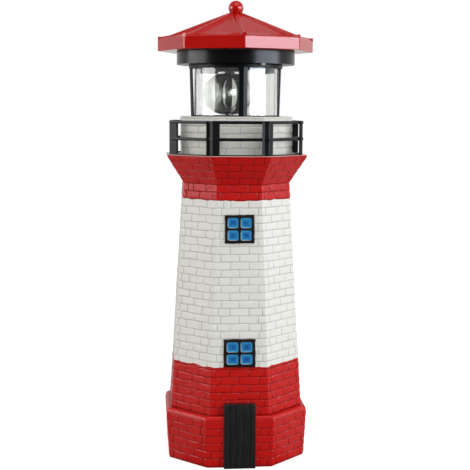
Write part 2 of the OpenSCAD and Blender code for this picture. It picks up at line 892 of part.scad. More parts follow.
module pinion_gear() {
    color(nylon_white)
        translate(pinion_at + [0, 0, gear_z])
            difference() {
                rotate([0, 0, -90 + 180 / pinion_teeth])
                    linear_extrude(height = gear_h)
                        polygon(gear_outline(pinion_teeth));
                translate([0, 0, -over])
                    cylinder(h = gear_h + 2 * over, r = shaft_r + press_gap, $fn = fine);
            }
}

bracket_z = gear_z + gear_h + seat_gap + turn_gap;
motor_z = bracket_z + bracket_t;

module motor_shaft() {
    color(steel_grey)
        translate(pinion_at + [0, 0, gear_z])
            cylinder(h = motor_z + shaft_in - gear_z, r = shaft_r, $fn = fine);
}

// ---- Drum ----

// Everything in the battery compartment is set out from the cover's upper face
cover_top_z = z_head + cover_t;
battery_z = cover_top_z + seat_gap + battery_r;
bay_w = 2 * (battery_r + seat_gap);
bay_top_z = battery_z + battery_r + seat_gap;
bay_roof_z = bay_top_z + bay_wall;
ear_w = 7;
ear_l = 8;
ear_t = 1;
ear_y = -17;
ear_screw_off = 4.4;
cover_screw_x = battery_right - bay_w / 2 - ear_screw_off;
small_post_r = 2.3;
small_bore_depth = small_screw_l + seat_gap;

board_low_x = -32;
board_low_y = -20;
board_z = z_drum_floor + board_up;
board_top_z = board_z + board_t;
board_post_inset = 4;
board_far_inset = 11;
board_posts = [
    [board_low_x + board_post_inset, board_low_y + board_post_inset],
    [board_low_x + board_post_inset, board_low_y + board_d - board_post_inset],
    [board_low_x + board_w - board_far_inset, board_low_y + board_post_inset]
];
chip_at = [9, 8];
chip_w = 6;
chip_d = 5;
chip_h = 1.8;
capacitor_at = [20, 7];
capacitor_r = 2.5;
capacitor_h = 4;
bracket_low_y = pinion_away - motor_d / 2;
bracket_flange = 6;
bracket_d = motor_d + bracket_flange;
bracket_posts = [for (side = [-1, 1]) [
    side * (bracket_w / 2 - small_post_r) - rotor_left,
    bracket_low_y + bracket_d - small_post_r
]];

module boss_places() {
    for (k = [0 : boss_count - 1])
        at_turn(boss_turn + k * 360 / boss_count, boss_ring_r)
            children();
}

module small_posts(places, from_z, to_z, r) {
    for (p = places)
        translate([p[0], p[1], from_z])
            cylinder(h = to_z - from_z, r = r, $fn = fine);
}

module switch_place() {
    at_turn(switch_turn, switch_ring_r)
        children();
}

slot_w = knob_w + knob_travel + 2 * seat_gap;
slot_d = knob_d + 2 * seat_gap;
counterbore_sink = 0.8;
counterbore_h = screw_head_h + counterbore_sink;

module lugs() {
    lug_r = glaze_r - glaze_wall - turn_gap;
    for (k = [0 : lug_count - 1])
        rotate([0, 0, lug_turn - 90 - lug_angle / 2 + k * 360 / lug_count])
            translate([0, 0, z_head - lug_h])
                rotate_extrude(angle = lug_angle, $fn = smooth)
                    translate([lug_r - lug_t, 0])
                        square([lug_t, lug_h + seam]);
}

module contact_slots() {
    for (side = [-1, 1])
        translate([
            battery_right - tab_w / 2 - seat_gap / 2,
            side * (bay_l / 2 - contact_t / 2) - contact_t / 2 - seat_gap / 2,
            bay_top_z - over
        ])
            cube([tab_w + seat_gap, contact_t + seat_gap, bay_wall + 2 * over]);
}

module drum_housing() {
    color(moulded_black)
        difference() {
            union() {
                translate([0, 0, z_head])
                    cylinder(h = drum_floor_t, r = drum_r, $fn = smooth);
                translate([0, 0, z_head])
                    round_ring(drum_r, drum_r - drum_wall, drum_h);
                lugs();
                boss_places()
                    translate([0, 0, z_head])
                        cylinder(h = drum_h, r = boss_r, $fn = fine);
                translate([battery_right - bay_w / 2 - bay_wall, -bay_l / 2 - bay_wall, z_head])
                    cube([bay_w + 2 * bay_wall, bay_l + 2 * bay_wall, bay_roof_z - z_head]);
                translate(rotor_at + [0, 0, z_head - bearing_boss_drop])
                    cylinder(
                        h = bearing_boss_drop + drum_floor_t + bearing_boss_rise,
                        r = bearing_boss_r,
                        $fn = fine
                    );
                small_posts(board_posts, z_head, board_z, small_post_r);
                small_posts(bracket_posts, z_head, bracket_z, small_post_r);
                small_posts([[cover_screw_x, ear_y]], z_head, z_drum_floor + small_screw_l, small_post_r);
            }
            translate([battery_right - bay_w / 2, -bay_l / 2, z_head - over])
                cube([bay_w, bay_l, bay_top_z - z_head + over]);
            contact_slots();
            translate([battery_right - bay_w / 2 - ear_l - seat_gap, ear_y - ear_w / 2, z_head - over])
                cube([ear_l + 2 * seat_gap, ear_w, ear_t + over]);
            small_posts(
                [[cover_screw_x, ear_y]],
                z_head - over,
                z_head + ear_t + small_bore_depth,
                small_screw_r + press_gap
            );
            small_posts(board_posts, board_z - small_bore_depth, board_z + over, small_screw_r + press_gap);
            small_posts(bracket_posts, bracket_z - small_bore_depth, bracket_z + over, small_screw_r + press_gap);
            boss_places()
                union() {
                    translate([0, 0, z_head - over])
                        cylinder(h = counterbore_h + over, r = screw_head_r + screw_gap, $fn = fine);
                    translate([0, 0, z_head])
                        cylinder(h = drum_h + over, r = screw_r + screw_gap, $fn = fine);
                }
            translate(rotor_at + [0, 0, z_head - bearing_boss_drop - over])
                cylinder(
                    h = bearing_boss_drop + drum_floor_t + bearing_boss_rise + 2 * over,
                    r = hub_r + running_gap,
                    $fn = fine
                );
            switch_place()
                translate([-slot_w / 2, -slot_d / 2, z_head - over])
                    cube([slot_w, slot_d, drum_floor_t + 2 * over]);
        }
}

module drum_gasket() {
    color("dimgray")
        translate([0, 0, z_drum_top])
            round_ring(drum_r - seat_gap / 2, soffit_hole_r, gasket_t);
}

module housing_screws() {
    color(steel_grey)
        boss_places()
            translate([0, 0, z_head + counterbore_h])
                mirror([0, 0, 1])
                    pan_screw(screw_head_r, screw_head_h, screw_r, housing_screw_l);
}

// ---- Roof ----

side_cos = cos(half_side);
roof_slope = crown_rise / (bend_r - crown_r);
post_step = 0.6;
post_r = boss_r - post_step;
shell_side = shell_t / side_cos;
rib_start_in = 1;
rib_end_in = 0.4;
rib_sink = 0.8;
finial_boss_wall = 2.6;
finial_boss_r = spigot_r + finial_boss_wall;
finial_boss_h = spigot_l + 2;
ball_seat_r = sqrt(pow(ball_r, 2) - pow(ball_up - rib_h, 2)) + seat_gap;

// Height of the roof's hip, and of a face at distance a from the axis
function hip_z(r) =
    r > bend_r
        ? z_fascia_top + (roof_r - r) * bend_rise / (roof_r - bend_r)
        : z_bend + (bend_r - r) * roof_slope;
function face_z(a) = hip_z(a / side_cos);

roof_low_r = roof_r - shell_side;

module roof_cavity() {
    loft([
        roof_ring(z_eave - over, roof_r - lip_t),
        roof_ring(z_soffit_top, roof_r - lip_t),
        roof_ring(z_soffit_top, roof_low_r),
        roof_ring(hip_z(roof_low_r) - shell_t, roof_low_r),
        roof_ring(z_bend - shell_t, bend_r),
        roof_ring(z_crown - shell_t, crown_r)
    ]);
}

// The hip's rib, drawn in the plane of the hip and given its width
module hip_rib() {
    tip_r = roof_r - rib_tip_l;
    rotate([90, 0, 0])
        linear_extrude(height = rib_w, center = true)
            polygon([
                [crown_r - rib_start_in, z_crown - rib_sink],
                [crown_r - rib_start_in, z_crown + rib_h],
                [crown_r, z_crown + rib_h],
                [bend_r, z_bend + rib_h],
                [tip_r, hip_z(tip_r) + rib_h],
                [roof_r - rib_end_in, z_fascia_top + rib_h + rib_tip_h],
                [roof_r - rib_end_in, z_fascia_top - rib_sink],
                [bend_r, z_bend - rib_sink]
            ]);
}

function panel_half_w(a, gap) = a * tan(half_side) - panel_border - gap;

// The outline of a recessed panel at a height above or below its face, drawn in by gap
function panel_ring(rise, gap) = [
    for (end = [[panel_top_a + gap, -1], [panel_foot_a - gap, -1], [panel_foot_a - gap, 1], [panel_top_a + gap, 1]])
        [end[0], end[1] * panel_half_w(end[0], gap), face_z(end[0]) + rise]
];

module panel_block(low, high, gap) {
    rotate([0, 0, half_side])
        loft([panel_ring(low, gap), panel_ring(high, gap)]);
}

module roof_place() {
    rotate([0, 0, roof_turn])
        children();
}

// Panels are counted from +X. The four at the back are 0 to 3.
module panel_place(k) {
    roof_place()
        rotate([0, 0, k * side_angle])
            children();
}

solar_lead_a = 28;
face_lean = atan(roof_slope / side_cos);

// The way through the shell for a cell's lead, square to the panel
module solar_hole(k) {
    panel_place(k)
        rotate([0, 0, half_side])
            translate([solar_lead_a, 0, face_z(solar_lead_a)])
                rotate([0, face_lean, 0])
                    cylinder(h = 4 * shell_t, r = lead_r + seat_gap, center = true, $fn = fine);
}

module roof_shell() {
    color(roof_red)
        difference() {
            union() {
                roof_place()
                    loft([
                        roof_ring(z_eave, roof_r),
                        roof_ring(z_fascia_top, roof_r),
                        roof_ring(z_bend, bend_r),
                        roof_ring(z_crown, crown_r)
                    ]);
                for (k = [0 : side_count - 1])
                    panel_place(k)
                        hip_rib();
            }
            difference() {
                roof_place()
                    roof_cavity();
                boss_places()
                    translate([0, 0, z_drum_top])
                        cylinder(h = z_crown - z_drum_top, r = post_r, $fn = fine);
                translate([0, 0, z_crown - finial_boss_h])
                    cylinder(h = finial_boss_h, r = finial_boss_r, $fn = fine);
            }
            for (k = [0 : side_count - 1])
                panel_place(k)
                    panel_block(-panel_depth, over * 2, 0);
            for (k = [1, 2])
                solar_hole(k);
            boss_places()
                translate([0, 0, z_drum_top - over])
                    cylinder(
                        h = z_head + counterbore_h + housing_screw_l + seat_gap - z_drum_top + over,
                        r = screw_r + press_gap,
                        $fn = fine
                    );
            translate([0, 0, z_crown - spigot_l - seat_gap])
                cylinder(h = spigot_l + seat_gap + rib_h + over, r = spigot_r + press_gap, $fn = fine);
            translate([0, 0, z_crown])
                cylinder(h = rib_h + over, r = ball_seat_r, $fn = fine);
        }
}

module roof_soffit() {
    color(roof_red)
        translate([0, 0, z_eave])
            difference() {
                roof_place()
                    cylinder(h = soffit_t, r = roof_r - lip_t - press_gap, $fn = side_count);
                translate([0, 0, -over])
                    cylinder(h = soffit_t + 2 * over, r = soffit_hole_r, $fn = smooth);
            }
}

module roof_ball() {
    color(roof_red)
        translate([0, 0, z_crown])
            union() {
                intersection() {
                    translate([0, 0, ball_up])
                        sphere(r = ball_r, $fn = smooth);
                    translate([-ball_r - over, -ball_r - over, seat_gap])
                        cube([2 * ball_r + 2 * over, 2 * ball_r + 2 * over, ball_up + ball_r + over]);
                }
                cylinder(h = ball_up, r = ball_neck_r, $fn = fine);
                translate([0, 0, -spigot_l])
                    cylinder(h = spigot_l + seam, r = spigot_r, $fn = fine);
            }
}

module solar_cell(k) {
    color("midnightblue")
        panel_place(k)
            panel_block(-panel_depth, cell_t - panel_depth, seat_gap);
}

// ---- Battery ----

module battery_cell() {
    body_l = battery_l - button_h;
    tip_y = bay_l / 2 - contact_t;
    color("seagreen")
        translate([battery_right, tip_y, battery_z])
            rotate([90, 0, 0])
                union() {
                    cylinder(h = button_h + seam, r = button_r, $fn = fine);
                    translate([0, 0, button_h])
                        cylinder(h = body_l, r = battery_r, $fn = smooth);
                }
}

// A contact plate against one end of the compartment, with its tab up through the slot
module contact_plate() {
    plate_z = battery_z - contact_h / 2;
    translate([battery_right - contact_w / 2, bay_l / 2 - contact_t, plate_z])
        cube([contact_w, contact_t, contact_h]);
    translate([battery_right - tab_w / 2, bay_l / 2 - contact_t, plate_z])
        cube([tab_w, contact_t, bay_roof_z + tab_h - plate_z]);
}

module battery_contact() {
    color(steel_grey)
        union() {
            contact_plate();
        }
}

// The contact spring: one wire wound as a cone, pressed between its plate and the cell
spring_l = bay_l - 2 * contact_t - battery_l;
spring_big_r = 4.4;
spring_small_r = 2.6;
spring_rings = 8;
spring_sides = 6;
spring_weld = 0.2;
spring_start = spring_wire_r - spring_weld;
spring_climb = spring_l - spring_wire_r - spring_start;

function spring_point(share) =
    let (
        turn = share * spring_coils * 360,
        r = spring_big_r + share * (spring_small_r - spring_big_r)
    )
    [r * cos(turn), r * sin(turn), spring_start + share * spring_climb];

// A tube of six sides along the spring's line, with each ring in the plane through the axis
function spring_ring(share) =
    let (turn = share * spring_coils * 360, p = spring_point(share))
    [
        for (k = [0 : spring_sides - 1])
            let (
                angle = -k * 360 / spring_sides,
                out = spring_wire_r * cos(angle)
            )
            [p[0] + out * cos(turn), p[1] + out * sin(turn), p[2] + spring_wire_r * sin(angle)]
    ];

// Least gap between neighbouring turns, from points one turn apart
spring_steps = ceil(spring_coils * spring_rings);
spring_gap = min([
    for (k = [0 : spring_steps - spring_rings])
        norm(spring_point(k / spring_steps) - spring_point((k + spring_rings) / spring_steps))
        - 2 * spring_wire_r
]);
echo(spring_gap = spring_gap);

module battery_spring() {
    color(steel_grey)
        union() {
            mirror([0, 1, 0])
                contact_plate();
            translate([battery_right, -bay_l / 2 + contact_t, battery_z])
                rotate([-90, 0, 0])
                    loft([for (k = [0 : spring_steps]) spring_ring(k / spring_steps)]);
        }
}

module battery_cover() {
    cover_w = bay_w - 2 * seat_gap;
    color(moulded_black)
        difference() {
            union() {
                translate([battery_right - cover_w / 2, -bay_l / 2 + seat_gap, z_head])
                    cube([cover_w, bay_l - 2 * seat_gap, cover_t]);
                translate([battery_right - bay_w / 2 - ear_l, ear_y - ear_w / 2 + seat_gap, z_head])
                    cube([ear_l + 2 * seat_gap, ear_w - 2 * seat_gap, ear_t]);
            }
            translate([cover_screw_x, ear_y, z_head - over])
                cylinder(h = ear_t + 2 * over, r = small_screw_r + screw_gap, $fn = fine);
        }
}

module battery_cover_screw() {
    color(steel_grey)
        translate([cover_screw_x, ear_y, z_head])
            mirror([0, 0, 1])
                pan_screw(small_head_r, small_head_h, small_screw_r, small_screw_l);
}

// ---- Board, motor and lamp diode ----

module circuit_board() {
    color("darkgreen")
        difference() {
            union() {
                translate([board_low_x, board_low_y, board_z])
                    cube([board_w, board_d, board_t]);
                translate([board_low_x + chip_at[0], board_low_y + chip_at[1], board_top_z - seam])
                    cube([chip_w, chip_d, chip_h + seam]);
                translate([board_low_x + capacitor_at[0], board_low_y + capacitor_at[1], board_top_z - seam])
                    cylinder(h = capacitor_h + seam, r = capacitor_r, $fn = fine);
            }
            small_posts(board_posts, board_z - over, board_top_z + over, small_screw_r + screw_gap);
        }
}

module board_screws() {
    color(steel_grey)
        for (p = board_posts)
            translate([p[0], p[1], board_top_z])
                pan_screw(small_head_r, small_head_h, small_screw_r, small_screw_l);
}

module motor_bracket() {
    color(steel_grey)
        difference() {
            translate([-rotor_left - bracket_w / 2, bracket_low_y, bracket_z])
                cube([bracket_w, bracket_d, bracket_t]);
            translate(pinion_at + [0, 0, bracket_z - over])
                cylinder(h = bracket_t + 2 * over, r = shaft_r + 2 * seat_gap, $fn = fine);
            small_posts(bracket_posts, bracket_z - over, motor_z + over, small_screw_r + screw_gap);
        }
}

module motor_screws() {
    color(steel_grey)
        for (p = bracket_posts)
            translate([p[0], p[1], motor_z])
                pan_screw(small_head_r, small_head_h, small_screw_r, small_screw_l);
}

module gear_motor() {
    color("silver")
        translate(pinion_at + [0, 0, motor_z])
            difference() {
                union() {
                    translate([-motor_w / 2, -motor_d / 2, 0])
                        cube([motor_w, motor_d, gearbox_h]);
                    intersection() {
                        cylinder(h = gearbox_h + can_h, r = motor_w / 2, $fn = smooth);
                        translate([-motor_w / 2, -motor_d / 2, 0])
                            cube([motor_w, motor_d, gearbox_h + can_h]);
                    }
                }
                translate([0, 0, -over])
                    cylinder(h = shaft_in + seat_gap + over, r = shaft_r + running_gap, $fn = fine);
            }
}

led_tip_z = z_lens - led_down;
led_top_z = led_tip_z + led_h;

module led_tube() {
    color(moulded_black)
        translate(rotor_at + [0, 0, led_top_z])
            round_ring(led_tube_r, led_tube_r - led_tube_wall, board_z - led_top_z);
}

module led_lamp() {
    color(clear_plastic)
        translate(rotor_at + [0, 0, led_tip_z])
            union() {
                translate([0, 0, led_r])
                    sphere(r = led_r, $fn = fine);
                translate([0, 0, led_r])
                    cylinder(h = led_h - led_r, r = led_r, $fn = fine);
                translate([0, 0, led_h - led_collar_h])
                    cylinder(h = led_collar_h, r = led_tube_r, $fn = fine);
            }
}

// ---- Leads ----

lead_steps = 14;
lead_sides = 8;

function bend(p, t) =
    pow(1 - t, 3) * p[0] + 3 * t * pow(1 - t, 2) * p[1] + 3 * t * t * (1 - t) * p[2] + pow(t, 3) * p[3];
function bend_way(p, t) =
    let (d = pow(1 - t, 2) * (p[1] - p[0]) + 2 * t * (1 - t) * (p[2] - p[1]) + t * t * (p[3] - p[2]))
        d / norm(d);

// A ring square to the lead's way, set out from one fixed direction that no lead runs along
function lead_ring(p, t, guide) =
    let (
        way = bend_way(p, t),
        across = cross(way, guide) / norm(cross(way, guide)),
        up = cross(way, across),
        middle = bend(p, t)
    )
    [
        for (k = [0 : lead_sides - 1])
            let (angle = k * 360 / lead_sides)
                middle + lead_r * (cos(angle) * across - sin(angle) * up)
    ];

module lead(p, guide) {
    loft([for (k = [0 : lead_steps]) lead_ring(p, k / lead_steps, guide)]);
}

// The point on a cell's back where its lead starts, and the way that points into the roof
function turned(v, angle) = [v[0] * cos(angle) - v[1] * sin(angle), v[0] * sin(angle) + v[1] * cos(angle), v[2]];
function solar_foot(k) =
    turned([solar_lead_a, 0, face_z(solar_lead_a) - panel_depth], roof_turn + half_side + k * side_angle);
function solar_way(k) =
    turned([-sin(face_lean), 0, -cos(face_lean)], roof_turn + half_side + k * side_angle);

// Each lead: where it ends, from the rotor's axis, and its rise or run at its start and at the board
solar_left_x = -11.7;
solar_left_y = 2;
solar_left_start = 9;
solar_left_rise = 12;
solar_right_x = 6.3;
solar_right_y = 2;
solar_right_start = 6;
solar_right_rise = 16;
plus_x = 5.7;
plus_y = -3;
plus_start = 4;
plus_rise = 17;
minus_x = 6.3;
minus_y = -9;
minus_start = 4;
minus_rise = 15;
motor_lead_x = -5.7;
motor_lead_start = 7;
motor_lead_rise = 9;
motor_lead_below = 3;
switch_lead_x = 2.3;
switch_lead_y = -17;
switch_lead_start = 22;
switch_lead_rise = 14;

function board_end(x, y) = [x - rotor_left, y, board_top_z];
function above(p, rise) = p + [0, 0, rise];

module solar_lead(k, end, start_run, rise) {
    start = solar_foot(k);
    color("firebrick")
        lead([start, start + start_run * solar_way(k), above(end, rise), end], [1, 0, 0]);
}

module solar_lead_left() {
    solar_lead(2, board_end(solar_left_x, solar_left_y), solar_left_start, solar_left_rise);
}

module solar_lead_right() {
    solar_lead(1, board_end(solar_right_x, solar_right_y), solar_right_start, solar_right_rise);
}

module battery_lead_plus() {
    start = [battery_right, bay_l / 2 - contact_t / 2, bay_roof_z + tab_h];
    end = board_end(plus_x, plus_y);
    color("firebrick")
        lead([start, above(start, plus_start), above(end, plus_rise), end], [1, 0, 0]);
}

module battery_lead_minus() {
    start = [battery_right, -bay_l / 2 + contact_t / 2, bay_roof_z + tab_h];
    end = board_end(minus_x, minus_y);
    color("black")
        lead([start, above(start, minus_start), above(end, minus_rise), end], [1, 0, 0]);
}

module motor_lead() {
    start = pinion_at + [0, -motor_d / 2, motor_z + gearbox_h + can_h - motor_lead_below];
    end = board_end(motor_lead_x, 0);
    color("firebrick")
        lead([start, start - [0, motor_lead_start, 0], above(end, motor_lead_rise), end], [1, 0, 0]);
}

module switch_lead() {
    start = turned([0, -switch_ring_r, z_drum_floor + switch_h], switch_turn);
    end = board_end(switch_lead_x, switch_lead_y);
    color("black")
        lead([start, above(start, switch_lead_start), above(end, switch_lead_rise), end], [1, 1, 0]);
}

// ---- Switch ----

module switch_body() {
    pocket_h = knob_in + seat_gap;
    color("silver")
        switch_place()
            translate([0, 0, z_drum_floor])
                difference() {
                    translate([-switch_w / 2, -switch_d / 2, 0])
                        cube([switch_w, switch_d, switch_h]);
                    translate([-slot_w / 2, -slot_d / 2, -over])
                        cube([slot_w, slot_d, pocket_h + over]);
                }
}

module switch_knob() {
    color("gainsboro")
        switch_place()
            translate([-knob_travel / 2 - knob_w / 2, -knob_d / 2, z_head - knob_drop])
                cube([knob_w, knob_d, knob_drop + drum_floor_t + knob_in]);
}

tower_casting();
gallery_railing();
lantern_cage();
lantern_glazing();
glazing_foot_seal();
glazing_top_seal();
cage_screws();
pivot_bush();
drum_housing();
drum_gasket();
roof_soffit();
roof_shell();
roof_ball();
solar_cell(0);  // solar_cell_1
solar_cell(1);  // solar_cell_2
solar_cell(2);  // solar_cell_3
solar_cell(3);  // solar_cell_4
housing_screws();
battery_cell();
battery_contact();
battery_spring();
battery_cover();
battery_cover_screw();
circuit_board();
board_screws();
gear_motor();
motor_bracket();
motor_screws();
led_tube();
led_lamp();
solar_lead_left();
solar_lead_right();
battery_lead_plus();
battery_lead_minus();
motor_lead();
switch_lead();
switch_body();
switch_knob();
lens_carrier();
lens_front();
lens_rear();
lens_gear();
pivot_pin();
pinion_gear();
motor_shaft();
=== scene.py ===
import math
import random

import bmesh
import bpy
from mathutils import Matrix, Vector, noise


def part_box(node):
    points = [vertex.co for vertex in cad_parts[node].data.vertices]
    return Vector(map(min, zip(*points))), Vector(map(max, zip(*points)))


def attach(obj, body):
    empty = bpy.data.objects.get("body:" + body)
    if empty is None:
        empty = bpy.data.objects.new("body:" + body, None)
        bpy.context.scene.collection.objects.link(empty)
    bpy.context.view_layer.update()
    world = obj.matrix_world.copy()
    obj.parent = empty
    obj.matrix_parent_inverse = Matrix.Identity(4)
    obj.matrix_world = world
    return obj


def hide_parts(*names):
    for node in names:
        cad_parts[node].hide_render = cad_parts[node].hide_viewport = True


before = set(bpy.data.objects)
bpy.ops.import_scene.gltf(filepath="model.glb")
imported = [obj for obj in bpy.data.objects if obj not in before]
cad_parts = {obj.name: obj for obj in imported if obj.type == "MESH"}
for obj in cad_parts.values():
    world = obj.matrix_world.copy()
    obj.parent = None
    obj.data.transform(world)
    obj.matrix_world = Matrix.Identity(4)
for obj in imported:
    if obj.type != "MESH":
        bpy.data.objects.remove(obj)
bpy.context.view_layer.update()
scene = bpy.context.scene


# ---- Camera ----
# The picture is taken from just left of the door and a little above the gallery's deck, looking
# slightly down with a long lens.
CAMERA_AZIMUTH = math.radians(-4.8)
CAMERA_AWAY = 0.8588
CAMERA_HEIGHT = 0.2759
CAMERA_DOWN = 0.117
CAMERA_ROLL = 0.005
CAMERA_LENS = 82.36
CAMERA_SHIFT = 0.0003

camera = bpy.data.objects.new("camera", bpy.data.cameras.new("camera"))
scene.collection.objects.link(camera)
scene.camera = camera
camera.data.sensor_width = 36
camera.data.lens = CAMERA_LENS
camera.data.shift_x = CAMERA_SHIFT
camera.matrix_world = (
    Matrix.Rotation(CAMERA_AZIMUTH, 4, "Z")
    @ Matrix.Translation((0, -CAMERA_AWAY, CAMERA_HEIGHT))
    @ Matrix.Rotation(math.pi / 2 - CAMERA_DOWN, 4, "X")
    @ Matrix.Rotation(CAMERA_ROLL, 4, "Z")
)
scene.view_settings.view_transform = "Standard"


# ---- Studio ----
# A sheet of pale matt paper on the table, a white room behind it, and three soft boxes. The paper
# and the room are white where they are looked at, and light the ornament at a plain level.
def linear(code):
    """An sRGB hex colour as linear red, green, blue and alpha."""
    parts = [int(code[k:k + 2], 16) / 255 for k in (0, 2, 4)]
    return tuple(c / 12.92 if c <= 0.04045 else ((c + 0.055) / 1.055) ** 2.4 for c in parts) + (1,)


def add(tree, kind, inputs=None, **settings):
    """Adds a shader node. Each input, by name or number, gets a value or a link."""
    node = tree.nodes.new("ShaderNode" + kind)
    for name, value in settings.items():
        setattr(node, name, value)
    for name, value in (inputs or {}).items():
        if isinstance(value, bpy.types.NodeSocket):
            tree.links.new(value, node.inputs[name])
        else:
            node.inputs[name].default_value = value
    return node


def start_material(name):
    """A new material with an empty node tree."""
    material = bpy.data.materials.new(name)
    material.use_nodes = True
    material.node_tree.nodes.clear()
    return material, material.node_tree


ROOM_LIGHT = 0.66        # the white room's light on the ornament
PAPER_GLOW = 0.7         # the paper's own white in the picture

# What glossy surfaces see: a dark room behind the camera, pale walls to the sides and behind, and a
# dimmer ceiling. Each turn from dark to pale is given by the Y of the direction, which is -1 in front.
DARK_ROOM, PALE_WALLS, CEILING = 0.04, 0.85, 0.33
WALLS_FROM, WALLS_FULL = -0.6, -0.15
CEILING_FROM, CEILING_FULL = 0.15, 0.55
PAPER_DARK, PAPER_PALE = 0.04, 0.55
PAPER_FROM, PAPER_FULL = -0.8, -0.35


def matt_paper():
    """Matt paper: white to the eye, with soft shadows where something stands on it. In reflections
    it is dark in front of the ornament, where the room is dark, and pale at the sides."""
    material, tree = start_material("matt_paper")
    path = add(tree, "LightPath")
    seen = add(tree, "Math", {0: path.outputs["Is Camera Ray"], 1: path.outputs["Is Transmission Ray"]},
               operation="MAXIMUM")
    glow = add(tree, "Math", {0: seen.outputs[0], 1: PAPER_GLOW}, operation="MULTIPLY")
    light = add(tree, "Emission", {"Color": linear("FFFFFF"), "Strength": glow.outputs[0]})
    matt = add(tree, "BsdfDiffuse", {"Color": linear("C8C8C8")})
    paper = add(tree, "AddShader", {0: light.outputs[0], 1: matt.outputs[0]})
    around = add(tree, "VectorMath", {0: add(tree, "TexCoord").outputs["Object"]}, operation="NORMALIZE")
    ahead = add(tree, "SeparateXYZ", {0: around.outputs[0]}).outputs["Y"]
    glint = add(tree, "MapRange", {
        "Value": ahead, "From Min": PAPER_FROM, "From Max": PAPER_FULL, "To Min": PAPER_DARK, "To Max": PAPER_PALE
    }, interpolation_type="SMOOTHSTEP")
    mirrored = add(tree, "Emission", {"Color": linear("FFFFFF"), "Strength": glint.outputs[0]})
    whole = add(tree, "MixShader", {0: path.outputs["Is Glossy Ray"], 1: paper.outputs[0], 2: mirrored.outputs[0]})
    add(tree, "OutputMaterial", {"Surface": whole.outputs[0]})
    return material


bm = bmesh.new()
bmesh.ops.create_grid(bm, x_segments=1, y_segments=1, size=4)
floor_mesh = bpy.data.meshes.new("floor")
bm.to_mesh(floor_mesh)
bm.free()
floor = bpy.data.objects.new("floor", floor_mesh)
floor.data.materials.append(matt_paper())
scene.collection.objects.link(floor)

world = bpy.data.worlds.new("white_room")
world.use_nodes = True
world.node_tree.nodes.clear()
scene.world = world
tree = world.node_tree
path = add(tree, "LightPath")
way = add(tree, "SeparateXYZ", {0: add(tree, "TexCoord").outputs["Generated"]})
upper = add(tree, "MapRange", {
    "Value": way.outputs["Z"], "From Min": CEILING_FROM, "From Max": CEILING_FULL,
    "To Min": PALE_WALLS, "To Max": CEILING
}, interpolation_type="SMOOTHSTEP")
mirrored = add(tree, "MapRange", {
    "Value": way.outputs["Y"], "From Min": WALLS_FROM, "From Max": WALLS_FULL,
    "To Min": DARK_ROOM, "To Max": upper.outputs[0]
}, interpolation_type="SMOOTHSTEP")
lit = add(tree, "Mix", {0: path.outputs["Is Glossy Ray"], 2: ROOM_LIGHT, 3: mirrored.outputs[0]})
seen = add(tree, "Math", {0: path.outputs["Is Camera Ray"], 1: path.outputs["Is Transmission Ray"]},
           operation="MAXIMUM")
level = add(tree, "Mix", {0: seen.outputs[0], 2: lit.outputs[0], 3: 1.0})
light = add(tree, "Background", {"Color": linear("FFFFFF"), "Strength": level.outputs[0]})
add(tree, "OutputWorld", {"Surface": light.outputs[0]})

# Name, azimuth from the door towards +X and elevation in degrees, width, height, watts, colour, and
# what it is for: the soft boxes light the matt colours, the panels are what glossy surfaces mirror
LAMPS = (
    ("right_box", 66, 8, 1.1, 0.9, 11.0, "FFFFFF", "light"),
    ("left_box", -80, 8, 1.0, 0.9, 4.6, "FFFCEC", "light"),
    ("top_box", 10, 62, 1.2, 1.2, 9.0, "FFFFFF", "both"),
    ("right_panel", 59, 14, 1.5, 0.7, 38.0, "E9F2FF", "mirror"),
    ("left_panel", -85, 14, 1.3, 0.7, 16.0, "FFFFFF", "mirror"),
)
LAMP_AWAY = 1.6
LAMP_AIM = Vector((0, 0, 0.2))

for name, azimuth, elevation, width, height, watts, colour, purpose in LAMPS:
    lamp = bpy.data.lights.new(name, "AREA")
    lamp.shape = "RECTANGLE"
    lamp.size = width
    lamp.size_y = height
    lamp.energy = watts
    lamp.color = linear(colour)[:3]
    box = bpy.data.objects.new(name, lamp)
    around, up = math.radians(azimuth), math.radians(elevation)
    away = Vector((math.sin(around) * math.cos(up), -math.cos(around) * math.cos(up), math.sin(up)))
    box.matrix_world = (
        Matrix.Translation(LAMP_AIM + away * LAMP_AWAY) @ away.to_track_quat("Z", "Y").to_matrix().to_4x4()
    )
    box.visible_diffuse = purpose != "mirror"
    box.visible_glossy = purpose != "light"
    scene.collection.objects.link(box)


# ---- Tower casting ----
# One hollow casting in filled resin, poured in a rubber mould: plinth, tapering shaft, flare,
# gallery ledge, deck wall and deck. Its bricks are cast on, and it is painted by hand.
MM = 0.001
SIDES = 8
HALF_SIDE = math.pi / SIDES
SIDE_COS = math.cos(HALF_SIDE)

WALL = 6.0
FOOT_R, FOOT_ROUND = 59.5, 1.5
PLINTH_R, PLINTH_ANGLE = 61.5, 25.3
SHOULDER_H, SHOULDER_IN = 3.6, 2.2
PLINTH_TOP = 41.0
SHAFT_R, SHAFT_ANGLE = 56.5, 23.8
NECK_R, PLAIN_ANGLE = 45.0, 22.5
FLARE_H, LIP_H, LEDGE_R = 22.0, 1.2, 59.0
DECK_WALL_R, DECK_WALL_H = 46.8, 29.5
HOLLOW_TOP_DOWN = 9.5
REBATE_R, REBATE_H = 37.3, 2.5
ROUND_STEPS = 96

tower_low, tower_high = (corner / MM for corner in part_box("tower_casting"))
deck_z = tower_high.z
ledge_z = deck_z - DECK_WALL_H
neck_z = ledge_z - FLARE_H

JOINT_DEPTH = 0.42


def corner_at(corner, z, corner_r, face_angle):
    """A corner of the tower's octagon, counted from the left of the door."""
    quarter, right = divmod(corner, 2)
    turn = math.radians(quarter * 90 + (face_angle if right else -face_angle))
    return Vector((corner_r * math.sin(turn), -corner_r * math.cos(turn), z))


def elements(made, kind):
    """The vertices, edges or faces among an operator's results."""
    return [e for e in made if isinstance(e, kind)]


